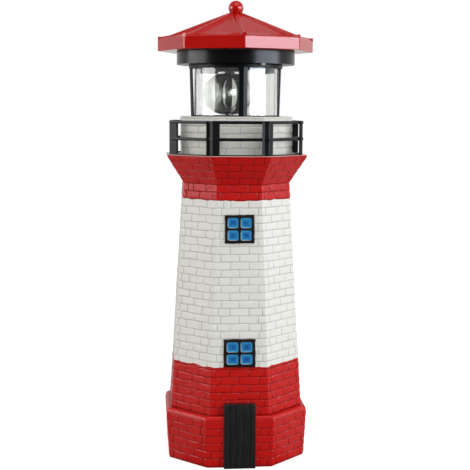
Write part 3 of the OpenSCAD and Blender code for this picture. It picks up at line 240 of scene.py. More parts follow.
tower = bmesh.new()
corner_of = tower.verts.layers.int.new("corner")
joint_of = tower.verts.layers.float.new("joint")
side_of = tower.faces.layers.int.new("side")
course_of = tower.faces.layers.int.new("course")


def rise(ring, z, corner_r, face_angle):
    """Draws a ring of the octagon out to another level. Returns the new ring and the wall between."""
    made = bmesh.ops.extrude_edge_only(tower, edges=ring)["geom"]
    for vert in elements(made, bmesh.types.BMVert):
        vert.co = corner_at(vert[corner_of], z, corner_r, face_angle)
    wall = elements(made, bmesh.types.BMFace)
    for face in wall:
        low, *_, high = sorted({v[corner_of] for v in face.verts})
        face[side_of] = high if high - low > 1 else low
    return [e for e in elements(made, bmesh.types.BMEdge) if e.is_boundary], wall


def cut(faces, point, normal):
    """Cuts the faces along a plane and returns all of them."""
    geometry = dict.fromkeys(faces)
    for face in faces:
        geometry.update(dict.fromkeys(face.edges))
        geometry.update(dict.fromkeys(face.verts))
    made = bmesh.ops.bisect_plane(tower, geom=list(geometry), dist=1e-4, plane_co=point, plane_no=normal)
    return elements(made["geom"], bmesh.types.BMFace)


def lay_courses(wall, count, first):
    """Cuts a stretch of wall into level courses, numbered from first."""
    heights = [v.co.z for face in wall for v in face.verts]
    low, pitch = min(heights), (max(heights) - min(heights)) / count
    for line in range(1, count):
        wall = cut(wall, (0, 0, low + line * pitch), (0, 0, 1))
    for face in wall:
        face[course_of] = first + int((face.calc_center_bounds().z - low) / pitch)


start = bmesh.ops.create_circle(tower, segments=SIDES, radius=FOOT_R)["verts"]
for corner, vert in enumerate(start):
    vert[corner_of] = corner
    vert.co = corner_at(corner, 0, FOOT_R - FOOT_ROUND, PLINTH_ANGLE)
foot_ring = list(tower.edges)

# The outside, up to the deck. Walls that get bricks lie back by the depth of the joints.
back = JOINT_DEPTH / SIDE_COS
ring, _ = rise(foot_ring, FOOT_ROUND * 0.4, FOOT_R - 0.45, PLINTH_ANGLE)
ring, _ = rise(ring, FOOT_ROUND, FOOT_R - back, PLINTH_ANGLE)
ring, plinth_wall = rise(ring, PLINTH_TOP - SHOULDER_H, PLINTH_R - back, PLINTH_ANGLE)
for up, inward in ((0.05, back * 0.4), (0.45, 0.45), (0.75, 1.1), (0.92, 1.7), (1.0, SHOULDER_IN + 0.3)):
    ring, _ = rise(ring, PLINTH_TOP - SHOULDER_H * (1 - up), PLINTH_R - inward, PLINTH_ANGLE)
ring, _ = rise(ring, PLINTH_TOP, SHAFT_R - back, SHAFT_ANGLE)
ring, shaft_wall = rise(ring, neck_z, NECK_R - back, PLAIN_ANGLE)
ring, flare_wall = rise(ring, ledge_z - LIP_H, LEDGE_R - back, PLAIN_ANGLE)
ring, _ = rise(ring, ledge_z - LIP_H * 0.8, LEDGE_R - 0.1, PLAIN_ANGLE)
ring, _ = rise(ring, ledge_z - LIP_H * 0.2, LEDGE_R, PLAIN_ANGLE)
ring, _ = rise(ring, ledge_z, LEDGE_R - 0.3, PLAIN_ANGLE)
ring, _ = rise(ring, ledge_z, DECK_WALL_R - back, PLAIN_ANGLE)
ring, deck_wall = rise(ring, deck_z - 1.6, DECK_WALL_R - back, PLAIN_ANGLE)
ring, _ = rise(ring, deck_z - 1.5, DECK_WALL_R - 0.2, PLAIN_ANGLE)
ring, _ = rise(ring, deck_z - 0.4, DECK_WALL_R, PLAIN_ANGLE)
deck_ring, _ = rise(ring, deck_z, DECK_WALL_R - 0.4, PLAIN_ANGLE)

# The inside of the mould's core, and the rebate that the lantern's floor is let into
wall_in = WALL / SIDE_COS
ring, _ = rise(foot_ring, 0, FOOT_R - wall_in, PLINTH_ANGLE)
ring, _ = rise(ring, PLINTH_TOP, SHAFT_R - wall_in, SHAFT_ANGLE)
ring, _ = rise(ring, neck_z, NECK_R - wall_in, PLAIN_ANGLE)
ring, _ = rise(ring, deck_z - HOLLOW_TOP_DOWN, NECK_R - wall_in, PLAIN_ANGLE)
bmesh.ops.edgeloop_fill(tower, edges=ring)
rim = bmesh.ops.create_circle(
    tower, segments=ROUND_STEPS, radius=REBATE_R, matrix=Matrix.Translation((0, 0, deck_z))
)["verts"]
rim_edges = list(dict.fromkeys(e for v in rim for e in v.link_edges))
bmesh.ops.bridge_loops(tower, edges=deck_ring + rim_edges)
made = bmesh.ops.extrude_edge_only(tower, edges=rim_edges)["geom"]
bmesh.ops.translate(tower, verts=elements(made, bmesh.types.BMVert), vec=(0, 0, -REBATE_H))
bmesh.ops.edgeloop_fill(
    tower, edges=[e for e in elements(made, bmesh.types.BMEdge) if e.is_boundary]
)

# Each stretch has the number of its first course, its courses and the length of its bricks
lay_courses(plinth_wall, 6, 100)
lay_courses(shaft_wall, 30, 200)
lay_courses(flare_wall, 4, 300)
lay_courses(deck_wall, 5, 400)
BRICK_LENGTH = {1: (15.5, 15.5), 2: (15.2, 13.9), 3: (18.5, 18.5), 4: (22.0, 22.0)}
SHAFT_COURSES = 30

# The sides to the left of the door were carved more freely than the others
ROUGH = (0.7, 0.9, 1.1, 1.2, 1.2, 1.2, 1.2, 1.6)
END_BRICK = 2.3
JOINT_STAGGER = 1.5                      # the least shift between the joints of two courses
joints_below = {}
rng = random.Random(11)

by_place = {}
for face in tower.faces:
    if face[course_of]:
        by_place.setdefault((face[course_of], face[side_of]), []).append(face)

for course in sorted({place[0] for place in by_place}):
    stretch = course // 100
    share = (course % 100) / SHAFT_COURSES if stretch == 2 else 0
    long_brick, short_brick = BRICK_LENGTH[stretch]
    brick = long_brick + (short_brick - long_brick) * share
    end_turns = [rng.choice((-1, 1)) * rng.uniform(END_BRICK, END_BRICK + 0.6) for _ in range(SIDES)]
    for side in range(SIDES):
        along = Vector((math.cos(2 * HALF_SIDE * side), math.sin(2 * HALF_SIDE * side), 0))
        faces = by_place[course, side]
        middle_z = faces[0].calc_center_bounds().z
        reach = min(
            max(abs(v.co.dot(along)) for v in faces[0].verts if (v.co.z > middle_z) == upper)
            for upper in (False, True)
        )
        offset = brick / 2 if (course % 2 == 1) != (stretch == 4) else 0
        joints = [s for s in (offset - brick, offset, offset + brick) if abs(s) < reach - END_BRICK]
        if reach - max(joints) > brick * 0.62:
            if end_turns[side] < 0:
                joints.append(-reach - end_turns[side] + 0.45)
            if end_turns[(side + 1) % SIDES] > 0:
                joints.append(reach - end_turns[(side + 1) % SIDES] - 0.45)
        kept = []
        for place in joints:
            place += rng.uniform(-0.45, 0.45) * ROUGH[side]
            near = min(joints_below.get(side, ()), key=lambda below: abs(below - place), default=math.inf)
            if abs(place - near) < JOINT_STAGGER:
                place = near + math.copysign(JOINT_STAGGER, place - near)
            if abs(place) < reach - END_BRICK:
                faces = cut(faces, along * place, along)
                kept.append(place)
        joints_below[side] = kept

# A course's ends and a brick's sides are never quite straight. A corner's points slide along it.
def is_corner_edge(edge):
    """True for an edge where a course goes round one of the octagon's corners."""
    faces = edge.link_faces
    return (
        len(faces) == 2 and faces[0][course_of] == faces[1][course_of] and faces[0][side_of] != faces[1][side_of]
    )


SHAKE_UP, SHAKE_ALONG = 0.24, 0.2
skin = [v for v in tower.verts if all(f[course_of] for f in v.link_faces)]
for vert in sorted(skin, key=lambda v: (round(v.co.z, 2), math.atan2(v.co.y, v.co.x))):
    sides = sorted({f[side_of] for f in vert.link_faces})
    stretches = {f[course_of] // 100 for f in vert.link_faces}
    rough = ROUGH[sides[0]]
    if len(stretches) > 1:
        continue
    upward = rng.uniform(-SHAKE_UP, SHAKE_UP) * rough
    if len(sides) > 1:
        edge = max((e for e in vert.link_edges if is_corner_edge(e)), key=lambda e: e.other_vert(vert).co.z)
        slope = (edge.other_vert(vert).co - vert.co).normalized()
        vert.co += slope * upward
    else:
        along = Vector((math.cos(2 * HALF_SIDE * sides[0]), math.sin(2 * HALF_SIDE * sides[0]), 0))
        slope = vert.link_faces[0].normal.cross(along)
        vert.co += slope * math.copysign(upward, slope.z * upward) + along * rng.uniform(-SHAKE_ALONG, SHAKE_ALONG)

# Every brick is cut free at its joints, raised in steps to a rounded face, and joined again
tower.normal_update()
bricks = [f for f in tower.faces if f[course_of]]
joints = [
    e for e in tower.edges if any(f[course_of] for f in e.link_faces) and not is_corner_edge(e)
]
for vert in tower.verts:
    vert[joint_of] = 1.0 if any(f[course_of] for f in vert.link_faces) else 0.0
bmesh.ops.split_edges(tower, edges=joints)
# Width and rise of each step, and how much of the joint's shade is left at its inner edge
BRICK_STEPS = ((0.1, 0.0, 1.0), (0.2, 0.24, 0.3), (0.3, 0.13, 0.0), (0.5, 0.05, 0.0))
for width, height, shade in BRICK_STEPS:
    bmesh.ops.inset_region(
        tower, faces=bricks, thickness=width, depth=height, use_boundary=True, use_even_offset=True
    )
    for vert in dict.fromkeys(v for f in bricks for v in f.verts):
        vert[joint_of] = shade

RAISED = 0.12
done = set()
for face in bricks:
    if face not in done:
        whole = [face] + [f for e in face.edges if is_corner_edge(e) for f in e.link_faces if f is not face]
        done.update(whole)
        lift = rng.uniform(-RAISED, RAISED) * ROUGH[face[side_of]]
        for vert in dict.fromkeys(v for f in whole for v in f.verts):
            vert.co += vert.normal * lift
bmesh.ops.remove_doubles(tower, verts=tower.verts, dist=1e-3)
tower.normal_update()
CORNER_ROUND = 0.45
corner_edges = [e for e in tower.edges if is_corner_edge(e)]
bmesh.ops.bevel(
    tower, geom=corner_edges, offset=CORNER_ROUND, segments=2, profile=0.5, affect="EDGES", material=-1,
    clamp_overlap=True
)
tower.normal_update()

WAVE_LENGTH, WAVE_DEPTH = 22.0, 0.22
CHIP_LENGTH, CHIP_DEPTH = 2.6, 0.07
for vert in tower.verts:
    if any(f[course_of] for f in vert.link_faces):
        wave = noise.noise(vert.co / WAVE_LENGTH) * WAVE_DEPTH + noise.noise(vert.co / CHIP_LENGTH) * CHIP_DEPTH
        vert.co += vert.normal * wave


def finish_piece(mesh, name, body, materials, nodes, crease=35):
    """Makes a piece of a mesh in millimetres and puts it on its body."""
    bmesh.ops.scale(mesh, vec=(MM, MM, MM), verts=mesh.verts)
    data = bpy.data.meshes.new(name)
    mesh.to_mesh(data)
    mesh.free()
    data.shade_smooth()
    data.set_sharp_from_angle(angle=math.radians(crease))
    piece = bpy.data.objects.new(name, data)
    flatter = piece.modifiers.new("flat_faces_stay_flat", "WEIGHTED_NORMAL")
    flatter.keep_sharp = True
    for material in materials:
        data.materials.append(material)
    scene.collection.objects.link(piece)
    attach(piece, body)
    if nodes:
        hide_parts(*nodes)
    return piece


def on_surface(tree):
    """Object coordinates in millimetres."""
    place = add(tree, "TexCoord").outputs["Object"]
    return add(tree, "Mapping", {"Vector": place, "Scale": (1 / MM,) * 3}).outputs[0]


RED_BELOW, RED_ABOVE = 78.5, 206.0       # heights of the painted lines on the shaft


def painted_resin():
    """Filled resin, brushed with gloss enamel: a grainy cast skin, dark paint in the joints, and
    hand-drawn lines between the red and the white."""
    material, tree = start_material("painted_cast_resin")
    place = on_surface(tree)
    height = add(tree, "SeparateXYZ", {0: place}).outputs["Z"]
    hand = add(tree, "TexNoise", {"Vector": place, "Scale": 1 / 9, "Detail": 2.0})
    wobble = add(tree, "MapRange", {"Value": hand.outputs[0], "To Min": -1.6, "To Max": 1.6}).outputs[0]
    line = add(tree, "Math", {0: height, 1: wobble}, operation="ADD").outputs[0]
    below = add(tree, "Math", {0: line, 1: RED_BELOW}, operation="LESS_THAN").outputs[0]
    above = add(tree, "Math", {0: line, 1: RED_ABOVE}, operation="GREATER_THAN").outputs[0]
    wall = add(tree, "Math", {0: height, 1: ledge_z - 0.12}, operation="LESS_THAN").outputs[0]
    neck = add(tree, "Math", {0: above, 1: wall}, operation="MULTIPLY").outputs[0]
    red = add(tree, "Math", {0: below, 1: neck}, operation="MAXIMUM").outputs[0]

    cloud = add(tree, "TexNoise", {"Vector": place, "Scale": 1 / 14, "Detail": 4.0}).outputs[0]
    grain = add(tree, "TexNoise", {"Vector": place, "Scale": 1 / 1.3, "Detail": 3.0}).outputs[0]
    whites = add(tree, "Mix", {0: cloud, 6: linear("DAD9D2"), 7: linear("E2E2DE")}, data_type="RGBA")
    reds = add(tree, "Mix", {0: cloud, 6: linear("B70B06"), 7: linear("C30E09")}, data_type="RGBA")
    face = add(tree, "Mix", {0: red, 6: whites.outputs[2], 7: reds.outputs[2]}, data_type="RGBA")
    deep = add(tree, "Mix", {0: red, 6: linear("B4B4AB"), 7: linear("6C0806")}, data_type="RGBA")
    shade = add(tree, "Attribute", attribute_name="joint").outputs["Fac"]
    worn = add(tree, "MapRange", {"Value": grain, "From Min": 0.3, "From Max": 0.7, "To Min": 0.55, "To Max": 1.0})
    stain = add(tree, "Math", {0: shade, 1: worn.outputs[0]}, operation="MULTIPLY").outputs[0]
    colour = add(tree, "Mix", {0: stain, 6: face.outputs[2], 7: deep.outputs[2]}, data_type="RGBA")

    lumps = add(tree, "TexNoise", {"Vector": place, "Scale": 1 / 2.2, "Detail": 3.0}).outputs[0]
    relief = add(tree, "Math", {0: grain, 1: 0.35, 2: lumps}, operation="MULTIPLY_ADD").outputs[0]
    bump = add(tree, "Bump", {"Height": relief, "Strength": 0.75, "Distance": 0.45 * MM})
    sheen = add(tree, "MapRange", {"Value": red, "To Min": 0.5, "To Max": 0.3}).outputs[0]
    shine = add(tree, "MapRange", {"Value": red, "To Min": 0.5, "To Max": 0.27}).outputs[0]
    shader = add(tree, "BsdfPrincipled", {
        "Base Color": colour.outputs[2], "Roughness": sheen, "IOR": 1.45, "Specular IOR Level": shine,
        "Normal": bump.outputs[0]
    })
    add(tree, "OutputMaterial", {"Surface": shader.outputs[0]})
    return material


bmesh.ops.recalc_face_normals(tower, faces=tower.faces)
finish_piece(tower, "tower_shell", "tower", [painted_resin()], ["tower_casting"], crease=38)


# ---- Door ----
# The door is a low block on the same casting, carved as upright planks and painted black. It is
# a skin over the casting's own block, fixed to it all over.
DOOR_W, DOOR_H = 24.4, 50.6
DOOR_FRONT = 56.4
DOOR_DEPTH = 8.0
PLANKS = (-7.4, -2.6, 2.9, 7.9)          # where the grooves between the planks run
GROOVE_W, GROOVE_DEPTH = 0.7, 0.45
DOOR_ROUND = 0.7

door = bmesh.new()
bmesh.ops.create_cube(door, size=1)
bmesh.ops.scale(door, vec=(DOOR_W, DOOR_DEPTH, DOOR_H), verts=door.verts)
bmesh.ops.translate(door, verts=door.verts, vec=(0, -DOOR_FRONT + DOOR_DEPTH / 2, DOOR_H / 2))
for place in PLANKS:
    for edge in (place - GROOVE_W / 2, place, place + GROOVE_W / 2):
        bmesh.ops.bisect_plane(
            door, geom=door.verts[:] + door.edges[:] + door.faces[:], dist=1e-4,
            plane_co=(edge, 0, 0), plane_no=(1, 0, 0)
        )
rng = random.Random(5)
LEVELS = 9
for line in range(1, LEVELS):
    bmesh.ops.bisect_plane(
        door, geom=door.verts[:] + door.edges[:] + door.faces[:], dist=1e-4,
        plane_co=(0, 0, line * DOOR_H / LEVELS), plane_no=(0, 0, 1)
    )
front = [v for v in door.verts if v.co.y < -DOOR_FRONT + 0.01]
for vert in front:
    if any(abs(vert.co.x - place) < 0.01 for place in PLANKS):
        vert.co.y += GROOVE_DEPTH
    if abs(vert.co.x) < DOOR_W / 2 - 0.01:
        vert.co.x += 0.25 * noise.noise(Vector((vert.co.x, 0, vert.co.z / 14)))
rim = [
    e for e in door.edges
    if not e.is_boundary and e.calc_face_angle(0) > 1 and min(v.co.z for v in e.verts) > -0.01
    and max(v.co.z for v in e.verts) > 0.01
]
bmesh.ops.bevel(
    door, geom=rim, offset=DOOR_ROUND, segments=3, profile=0.5, affect="EDGES", material=-1, clamp_overlap=True
)
for vert in door.verts:
    if vert.co.y < 1 - DOOR_FRONT:
        vert.co.y += 0.16 * noise.noise(vert.co / 9)
        vert.co.z += 0.3 * noise.noise(vert.co / 8) * vert.co.z / DOOR_H


def door_paint():
    """Black enamel on carved resin: a soft gloss that shows the brush's upright strokes."""
    material, tree = start_material("black_door_enamel")
    place = on_surface(tree)
    strokes = add(tree, "Mapping", {"Vector": place, "Scale": (1 / 0.9, 1 / 0.9, 1 / 16)}).outputs[0]
    bristle = add(tree, "TexNoise", {"Vector": strokes, "Scale": 1.0, "Detail": 4.0}).outputs[0]
    colour = add(tree, "Mix", {0: bristle, 6: linear("0E0E0F"), 7: linear("252324")}, data_type="RGBA")
    bump = add(tree, "Bump", {"Height": bristle, "Strength": 0.7, "Distance": 0.4 * MM})
    gloss = add(tree, "MapRange", {"Value": bristle, "To Min": 0.3, "To Max": 0.5}).outputs[0]
    shader = add(tree, "BsdfPrincipled", {
        "Base Color": colour.outputs[2], "Roughness": gloss, "IOR": 1.45, "Normal": bump.outputs[0]
    })
    add(tree, "OutputMaterial", {"Surface": shader.outputs[0]})
    return material


finish_piece(door, "tower_door", "tower", [door_paint()], ["tower_casting"])


# ---- Windows ----
# Two cast windows lean with the shaft. Their frames are brushed dark brown, and the four panes
# of each are painted in blue, darker in the middle, with a painted highlight along the rim at the lower left.
SHAFT_H = neck_z - PLINTH_TOP
SHAFT_FRONT = SHAFT_R * math.cos(math.radians(SHAFT_ANGLE)), NECK_R * SIDE_COS
SHAFT_LEAN = math.atan((SHAFT_FRONT[0] - SHAFT_FRONT[1]) / SHAFT_H)
FRAME_W, BAR_W = 1.8, 1.2
WINDOW_PROUD, WINDOW_EMBED = 1.2, 2.0
PANE_DEPTH, PANE_ROUND = 0.7, 1.7
PANE_STEPS = ((0.7, 0.9), (0.9, 0.45))  # how far in, and how much of the edge's pale blue is left
BRUSH_STEPS, BRUSH_SHAKE = 7, 0.22


def frame_paint():
    """Dark brown enamel put on with a small brush: thick, uneven and glossy."""
    material, tree = start_material("brown_window_enamel")
    place = on_surface(tree)
    daub = add(tree, "TexNoise", {"Vector": place, "Scale": 1 / 2.4, "Detail": 3.0}).outputs[0]
    colour = add(tree, "Mix", {0: daub, 6: linear("0F0403"), 7: linear("240B07")}, data_type="RGBA")
    bump = add(tree, "Bump", {"Height": daub, "Strength": 0.5, "Distance": 0.4 * MM})
    shader = add(tree, "BsdfPrincipled", {
        "Base Color": colour.outputs[2], "Roughness": 0.38, "IOR": 1.45, "Normal": bump.outputs[0]
    })
    add(tree, "OutputMaterial", {"Surface": shader.outputs[0]})
    return material


def pane_paint():
    """Blue enamel over white, shaded from a dark middle to pale edges, with a painted highlight on each pane's lower
    left rim.
    """
    material, tree = start_material("blue_pane_enamel")
    place = on_surface(tree)
    cloud = add(tree, "TexNoise", {"Vector": place, "Scale": 1 / 3.2, "Detail": 2.0}).outputs[0]
    edge = add(tree, "Attribute", attribute_name="edge").outputs["Fac"]
    # The "pale" attribute holds a painted highlight: near white on each pane's rim, strongest at its lower left.
    pale = add(tree, "Attribute", attribute_name="pale").outputs["Fac"]
    fade = add(tree, "Math", {0: cloud, 1: 0.5, 2: edge}, operation="MULTIPLY_ADD").outputs[0]
    level = add(tree, "MapRange", {"Value": fade, "From Min": 0.22, "From Max": 1.1}).outputs[0]
    blue = add(tree, "Mix", {0: level, 6: linear("003C90"), 7: linear("2E93C8")}, data_type="RGBA")
    rim = add(tree, "MapRange", {"Value": pale, "From Min": 0.3, "From Max": 0.9}).outputs[0]
    colour = add(tree, "Mix", {0: rim, 6: blue.outputs[2], 7: linear("D6E8EC")}, data_type="RGBA")
    shader = add(tree, "BsdfPrincipled", {
        "Base Color": colour.outputs[2], "Roughness": 0.3, "IOR": 1.45, "Specular IOR Level": 0.3
    })
    add(tree, "OutputMaterial", {"Surface": shader.outputs[0]})
    return material


window_materials = [frame_paint(), pane_paint()]


def rounded_loop(mesh, centre_x, centre_z, width, height, corner):
    """A level rounded rectangle that faces the front, as a ring of edges without a face."""
    made = bmesh.ops.create_grid(mesh, x_segments=1, y_segments=1, size=0.5)["verts"]
    bmesh.ops.scale(mesh, vec=(width, height, 1), verts=made)
    bmesh.ops.rotate(mesh, cent=(0, 0, 0), matrix=Matrix.Rotation(math.pi / 2, 3, "X"), verts=made)
    bmesh.ops.translate(mesh, verts=made, vec=(centre_x, 0, centre_z))
    if corner:
        made = bmesh.ops.bevel(
            mesh, geom=made, offset=corner, segments=5, profile=0.5, affect="VERTICES", material=-1
        )["verts"]
    ring = list(dict.fromkeys(e for v in made for e in v.link_edges))
    bmesh.ops.delete(mesh, geom=made[0].link_faces[:], context="FACES_ONLY")
    return ring


def window(name, width, height, middle, seed):
    """One window, drawn at the front of the shaft and leant back with it."""
    mesh = bmesh.new()
    edge_of = mesh.verts.layers.float.new("edge")
    highlight_of = mesh.verts.layers.float.new("pale")
    rng = random.Random(seed)
    outer = rounded_loop(mesh, 0, 0, width - 0.5, height - 0.5, 0)
    outer = bmesh.ops.subdivide_edges(mesh, edges=outer, cuts=BRUSH_STEPS)["geom_inner"] and [
        e for e in mesh.edges
    ]
    for vert in mesh.verts:
        vert.co.x += rng.uniform(-BRUSH_SHAKE, BRUSH_SHAKE)
        vert.co.z += rng.uniform(-BRUSH_SHAKE, BRUSH_SHAKE)
    pane_w = (width - 2 * FRAME_W - BAR_W) / 2
    pane_h = (height - 2 * FRAME_W - BAR_W) / 2
    panes = [
        rounded_loop(
            mesh, side * (pane_w + BAR_W) / 2, level * (pane_h + BAR_W) / 2, pane_w, pane_h, PANE_ROUND
        )
        for side in (-1, 1) for level in (-1, 1)
    ]
    bmesh.ops.triangle_fill(mesh, use_beauty=True, edges=mesh.edges[:])
    bmesh.ops.recalc_face_normals(mesh, faces=mesh.faces)
    if mesh.faces[0].normal.y > 0:
        bmesh.ops.reverse_faces(mesh, faces=mesh.faces)
    bmesh.ops.translate(mesh, verts=mesh.verts, vec=(0, -WINDOW_PROUD, 0))

    # The frame's outer side runs back into the wall over a rounded edge
    ring = outer
    for out, back in ((0.22, 0.1), (0.25, 0.35), (0.25, WINDOW_PROUD + WINDOW_EMBED)):
        made = bmesh.ops.extrude_edge_only(mesh, edges=ring)["geom"]
        for vert in elements(made, bmesh.types.BMVert):
            away = Vector((vert.co.x / width, 0, vert.co.z / height))
            square = Vector((
                math.copysign(abs(away.x) > abs(away.z) * 0.92, away.x), 0,
                math.copysign(abs(away.z) > abs(away.x) * 0.92, away.z)
            ))
            vert.co += square * (out if back < 1 else 0) * 0.9
            vert.co.y = -WINDOW_PROUD + back
        ring = [e for e in elements(made, bmesh.types.BMEdge) if e.is_boundary]
    bmesh.ops.edgeloop_fill(mesh, edges=ring)

    # Each pane lies behind a sloping edge, a little domed
    for ring in panes:
        middle_of = sum((v.co for e in ring for v in e.verts), Vector()) / (2 * len(ring))
        for inward, back, edge in ((0.12, 0.25, 0), (0.22, PANE_DEPTH, 1)):
            made = bmesh.ops.extrude_edge_only(mesh, edges=ring)["geom"]
            for vert in elements(made, bmesh.types.BMVert):
                vert.co += (middle_of - vert.co).normalized() * inward
                vert.co.y = -WINDOW_PROUD + back
                vert[edge_of] = edge
            ring = [e for e in elements(made, bmesh.types.BMEdge) if e.is_boundary]
        face = bmesh.ops.edgeloop_fill(mesh, edges=ring, mat_nr=1)["faces"]
        for vert in face[0].verts:
            # A painted highlight on the pane's rim, strongest at its lower left and gone towards its upper right.
            low = (middle_of.x - vert.co.x) / pane_w + (middle_of.z - vert.co.z) / pane_h
            vert[highlight_of] = min(1.0, max(0.0, low + 0.6))
        for step, edge in PANE_STEPS:
            bmesh.ops.inset_region(mesh, faces=face, thickness=step, depth=0.03, use_even_offset=True)
            for vert in face[0].verts:
                vert[edge_of], vert[highlight_of] = edge, 0
        centre = bmesh.ops.poke(mesh, faces=face)["verts"][0]
        centre[edge_of], centre[highlight_of] = 0, 0
    bmesh.ops.recalc_face_normals(mesh, faces=mesh.faces)
    share = (middle - PLINTH_TOP) / SHAFT_H
    front = SHAFT_FRONT[0] + share * (SHAFT_FRONT[1] - SHAFT_FRONT[0])
    bmesh.ops.rotate(mesh, cent=(0, 0, 0), matrix=Matrix.Rotation(-SHAFT_LEAN, 3, "X"), verts=mesh.verts)
    bmesh.ops.translate(mesh, verts=mesh.verts, vec=(0, -front, middle))
    finish_piece(mesh, name, "tower", window_materials, ["tower_casting"], crease=50)


window("upper_window", 22.4, 21.4, PLINTH_TOP + 143.5, 3)
window("lower_window", 24.0, 21.4, PLINTH_TOP + 48.2, 8)


# ---- Gallery railing ----
# One black injection moulding: eight corner posts of angle section on a low curb, with two rails
# that stand proud of them. Its pegs are pressed into the ledge.
RAIL_R, RAIL_H, POST_T, LEAF_W = 55.2, 26.0, 2.0, 5.2
CURB_H, BAR_H, BAR_PROUD = 0.9, 2.4, 0.4
MID_RAIL_UP = 12.4
PEG_R, PEG_L = 0.9, 4.0
RAIL_ROUND = 0.45


def octagon_band(mesh, z, height, outer_r, thickness, rounding):
    """A closed octagonal ring of rectangular section with softened edges, a flat side in front."""
    inner_r = outer_r - thickness / SIDE_COS
    turn = Matrix.Rotation(HALF_SIDE, 4, "Z")
    rings = []
    for radius, level in ((outer_r, z), (outer_r, z + height), (inner_r, z + height), (inner_r, z)):
        verts = bmesh.ops.create_circle(
            mesh, segments=SIDES, radius=radius, matrix=Matrix.Translation((0, 0, level)) @ turn
        )["verts"]
        rings.append(list(dict.fromkeys(e for v in verts for e in v.link_edges)))
    for ring, following in zip(rings, rings[1:] + rings[:1]):
        bmesh.ops.bridge_loops(mesh, edges=ring + following)
    if rounding:
        edges = [e for ring in rings for e in ring]
        bmesh.ops.bevel(
            mesh, geom=edges, offset=rounding, segments=2, profile=0.5, affect="EDGES", material=-1
        )


def moulded_black(name, roughness):
    """Black ABS from a spark-eroded mould: an even soft gloss over a very fine orange peel, drawn
    coarser than it is so that it shows."""
    material, tree = start_material(name)
    place = on_surface(tree)
    peel = add(tree, "TexNoise", {"Vector": place, "Scale": 1 / 1.1, "Detail": 2.0}).outputs[0]
    cloud = add(tree, "TexNoise", {"Vector": place, "Scale": 1 / 18, "Detail": 2.0}).outputs[0]
    colour = add(tree, "Mix", {0: cloud, 6: linear("0B0D0E"), 7: linear("131617")}, data_type="RGBA")
    gloss = add(tree, "MapRange", {"Value": cloud, "To Min": roughness * 0.85, "To Max": roughness * 1.15})
    bump = add(tree, "Bump", {"Height": peel, "Strength": 0.25, "Distance": 0.08 * MM})
    shader = add(tree, "BsdfPrincipled", {
        "Base Color": colour.outputs[2], "Roughness": gloss.outputs[0], "IOR": 1.5, "Specular IOR Level": 0.22,
        "Normal": bump.outputs[0]
    })
    add(tree, "OutputMaterial", {"Surface": shader.outputs[0]})
    return material


railing = bmesh.new()
post_outer = RAIL_R * SIDE_COS
half_length = RAIL_R * math.sin(HALF_SIDE)
for corner in range(SIDES):
    turn = (corner * 2 + 1) * HALF_SIDE
    tip = Vector((math.sin(turn), -math.cos(turn), 0)) * RAIL_R
    left = Vector((-math.cos(turn - HALF_SIDE), -math.sin(turn - HALF_SIDE), 0))
    right = Vector((math.cos(turn + HALF_SIDE), math.sin(turn + HALF_SIDE), 0))
    inner_tip = tip * (1 - POST_T / SIDE_COS / RAIL_R)
    into_left = Vector((left.y, -left.x, 0)) * -POST_T
    into_right = Vector((-right.y, right.x, 0)) * POST_T
    outline = [
        tip + left * LEAF_W, tip, tip + right * LEAF_W,
        tip + right * LEAF_W + into_right, inner_tip, tip + left * LEAF_W + into_left
    ]
    face = railing.faces.new([railing.verts.new(p + Vector((0, 0, ledge_z + 0.02))) for p in outline])
    made = bmesh.ops.extrude_face_region(railing, geom=[face])["geom"]
    top = elements(made, bmesh.types.BMVert)
    bmesh.ops.translate(railing, verts=top, vec=(0, 0, RAIL_H))
    whole = dict.fromkeys(e for v in top for f in v.link_faces for e in f.edges)
    bmesh.ops.bevel(
        railing, geom=list(whole), offset=RAIL_ROUND, segments=2, profile=0.5, affect="EDGES", material=-1
    )
    bmesh.ops.create_cone(
        railing, cap_ends=True, segments=16, radius1=PEG_R * 0.8, radius2=PEG_R, depth=PEG_L,
        matrix=Matrix.Translation(tip * ((RAIL_R - POST_T) / RAIL_R) + Vector((0, 0, ledge_z - PEG_L / 2)))
    )
octagon_band(railing, ledge_z + 0.01, CURB_H, RAIL_R, POST_T, 0.2)
for low in (MID_RAIL_UP - BAR_H / 2, RAIL_H - BAR_H + BAR_PROUD):
    octagon_band(
        railing, ledge_z + low, BAR_H, RAIL_R + BAR_PROUD / SIDE_COS, POST_T + 2 * BAR_PROUD, RAIL_ROUND
    )
bmesh.ops.recalc_face_normals(railing, faces=railing.faces)
finish_piece(
    railing, "railing", "tower", [moulded_black("black_abs_railing", 0.34)], ["gallery_railing"]
)


# ---- Lantern cage ----
# A black moulding let into the deck: a round floor, four ridged posts and the ring that the lamp
# head rests on. Three screws hold it down, and a brass bush for the rotor is pressed into its floor.
CAGE_R, CAGE_FLOOR_H, CAGE_RING_H = 37.0, 2.5, 2.8
POST_W, RIDGE_IN, POST_BACK = 6.9, 1.3, 33.4
RIDGE_FOOT_R, RIDGE_TOP_R = 35.6, 36.8
CAGE_TURN = 4.7
BOSS_R, BOSS_BORE, BOSS_RISE = 3.2, 2.25, 1.1
CAGE_ROUND = 0.35
head_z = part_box("drum_housing")[0].z / MM + 6.2
rotor_middle = (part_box("pivot_bush")[0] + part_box("pivot_bush")[1]) / 2 / MM
rotor_place = Vector((rotor_middle.x, rotor_middle.y, 0))


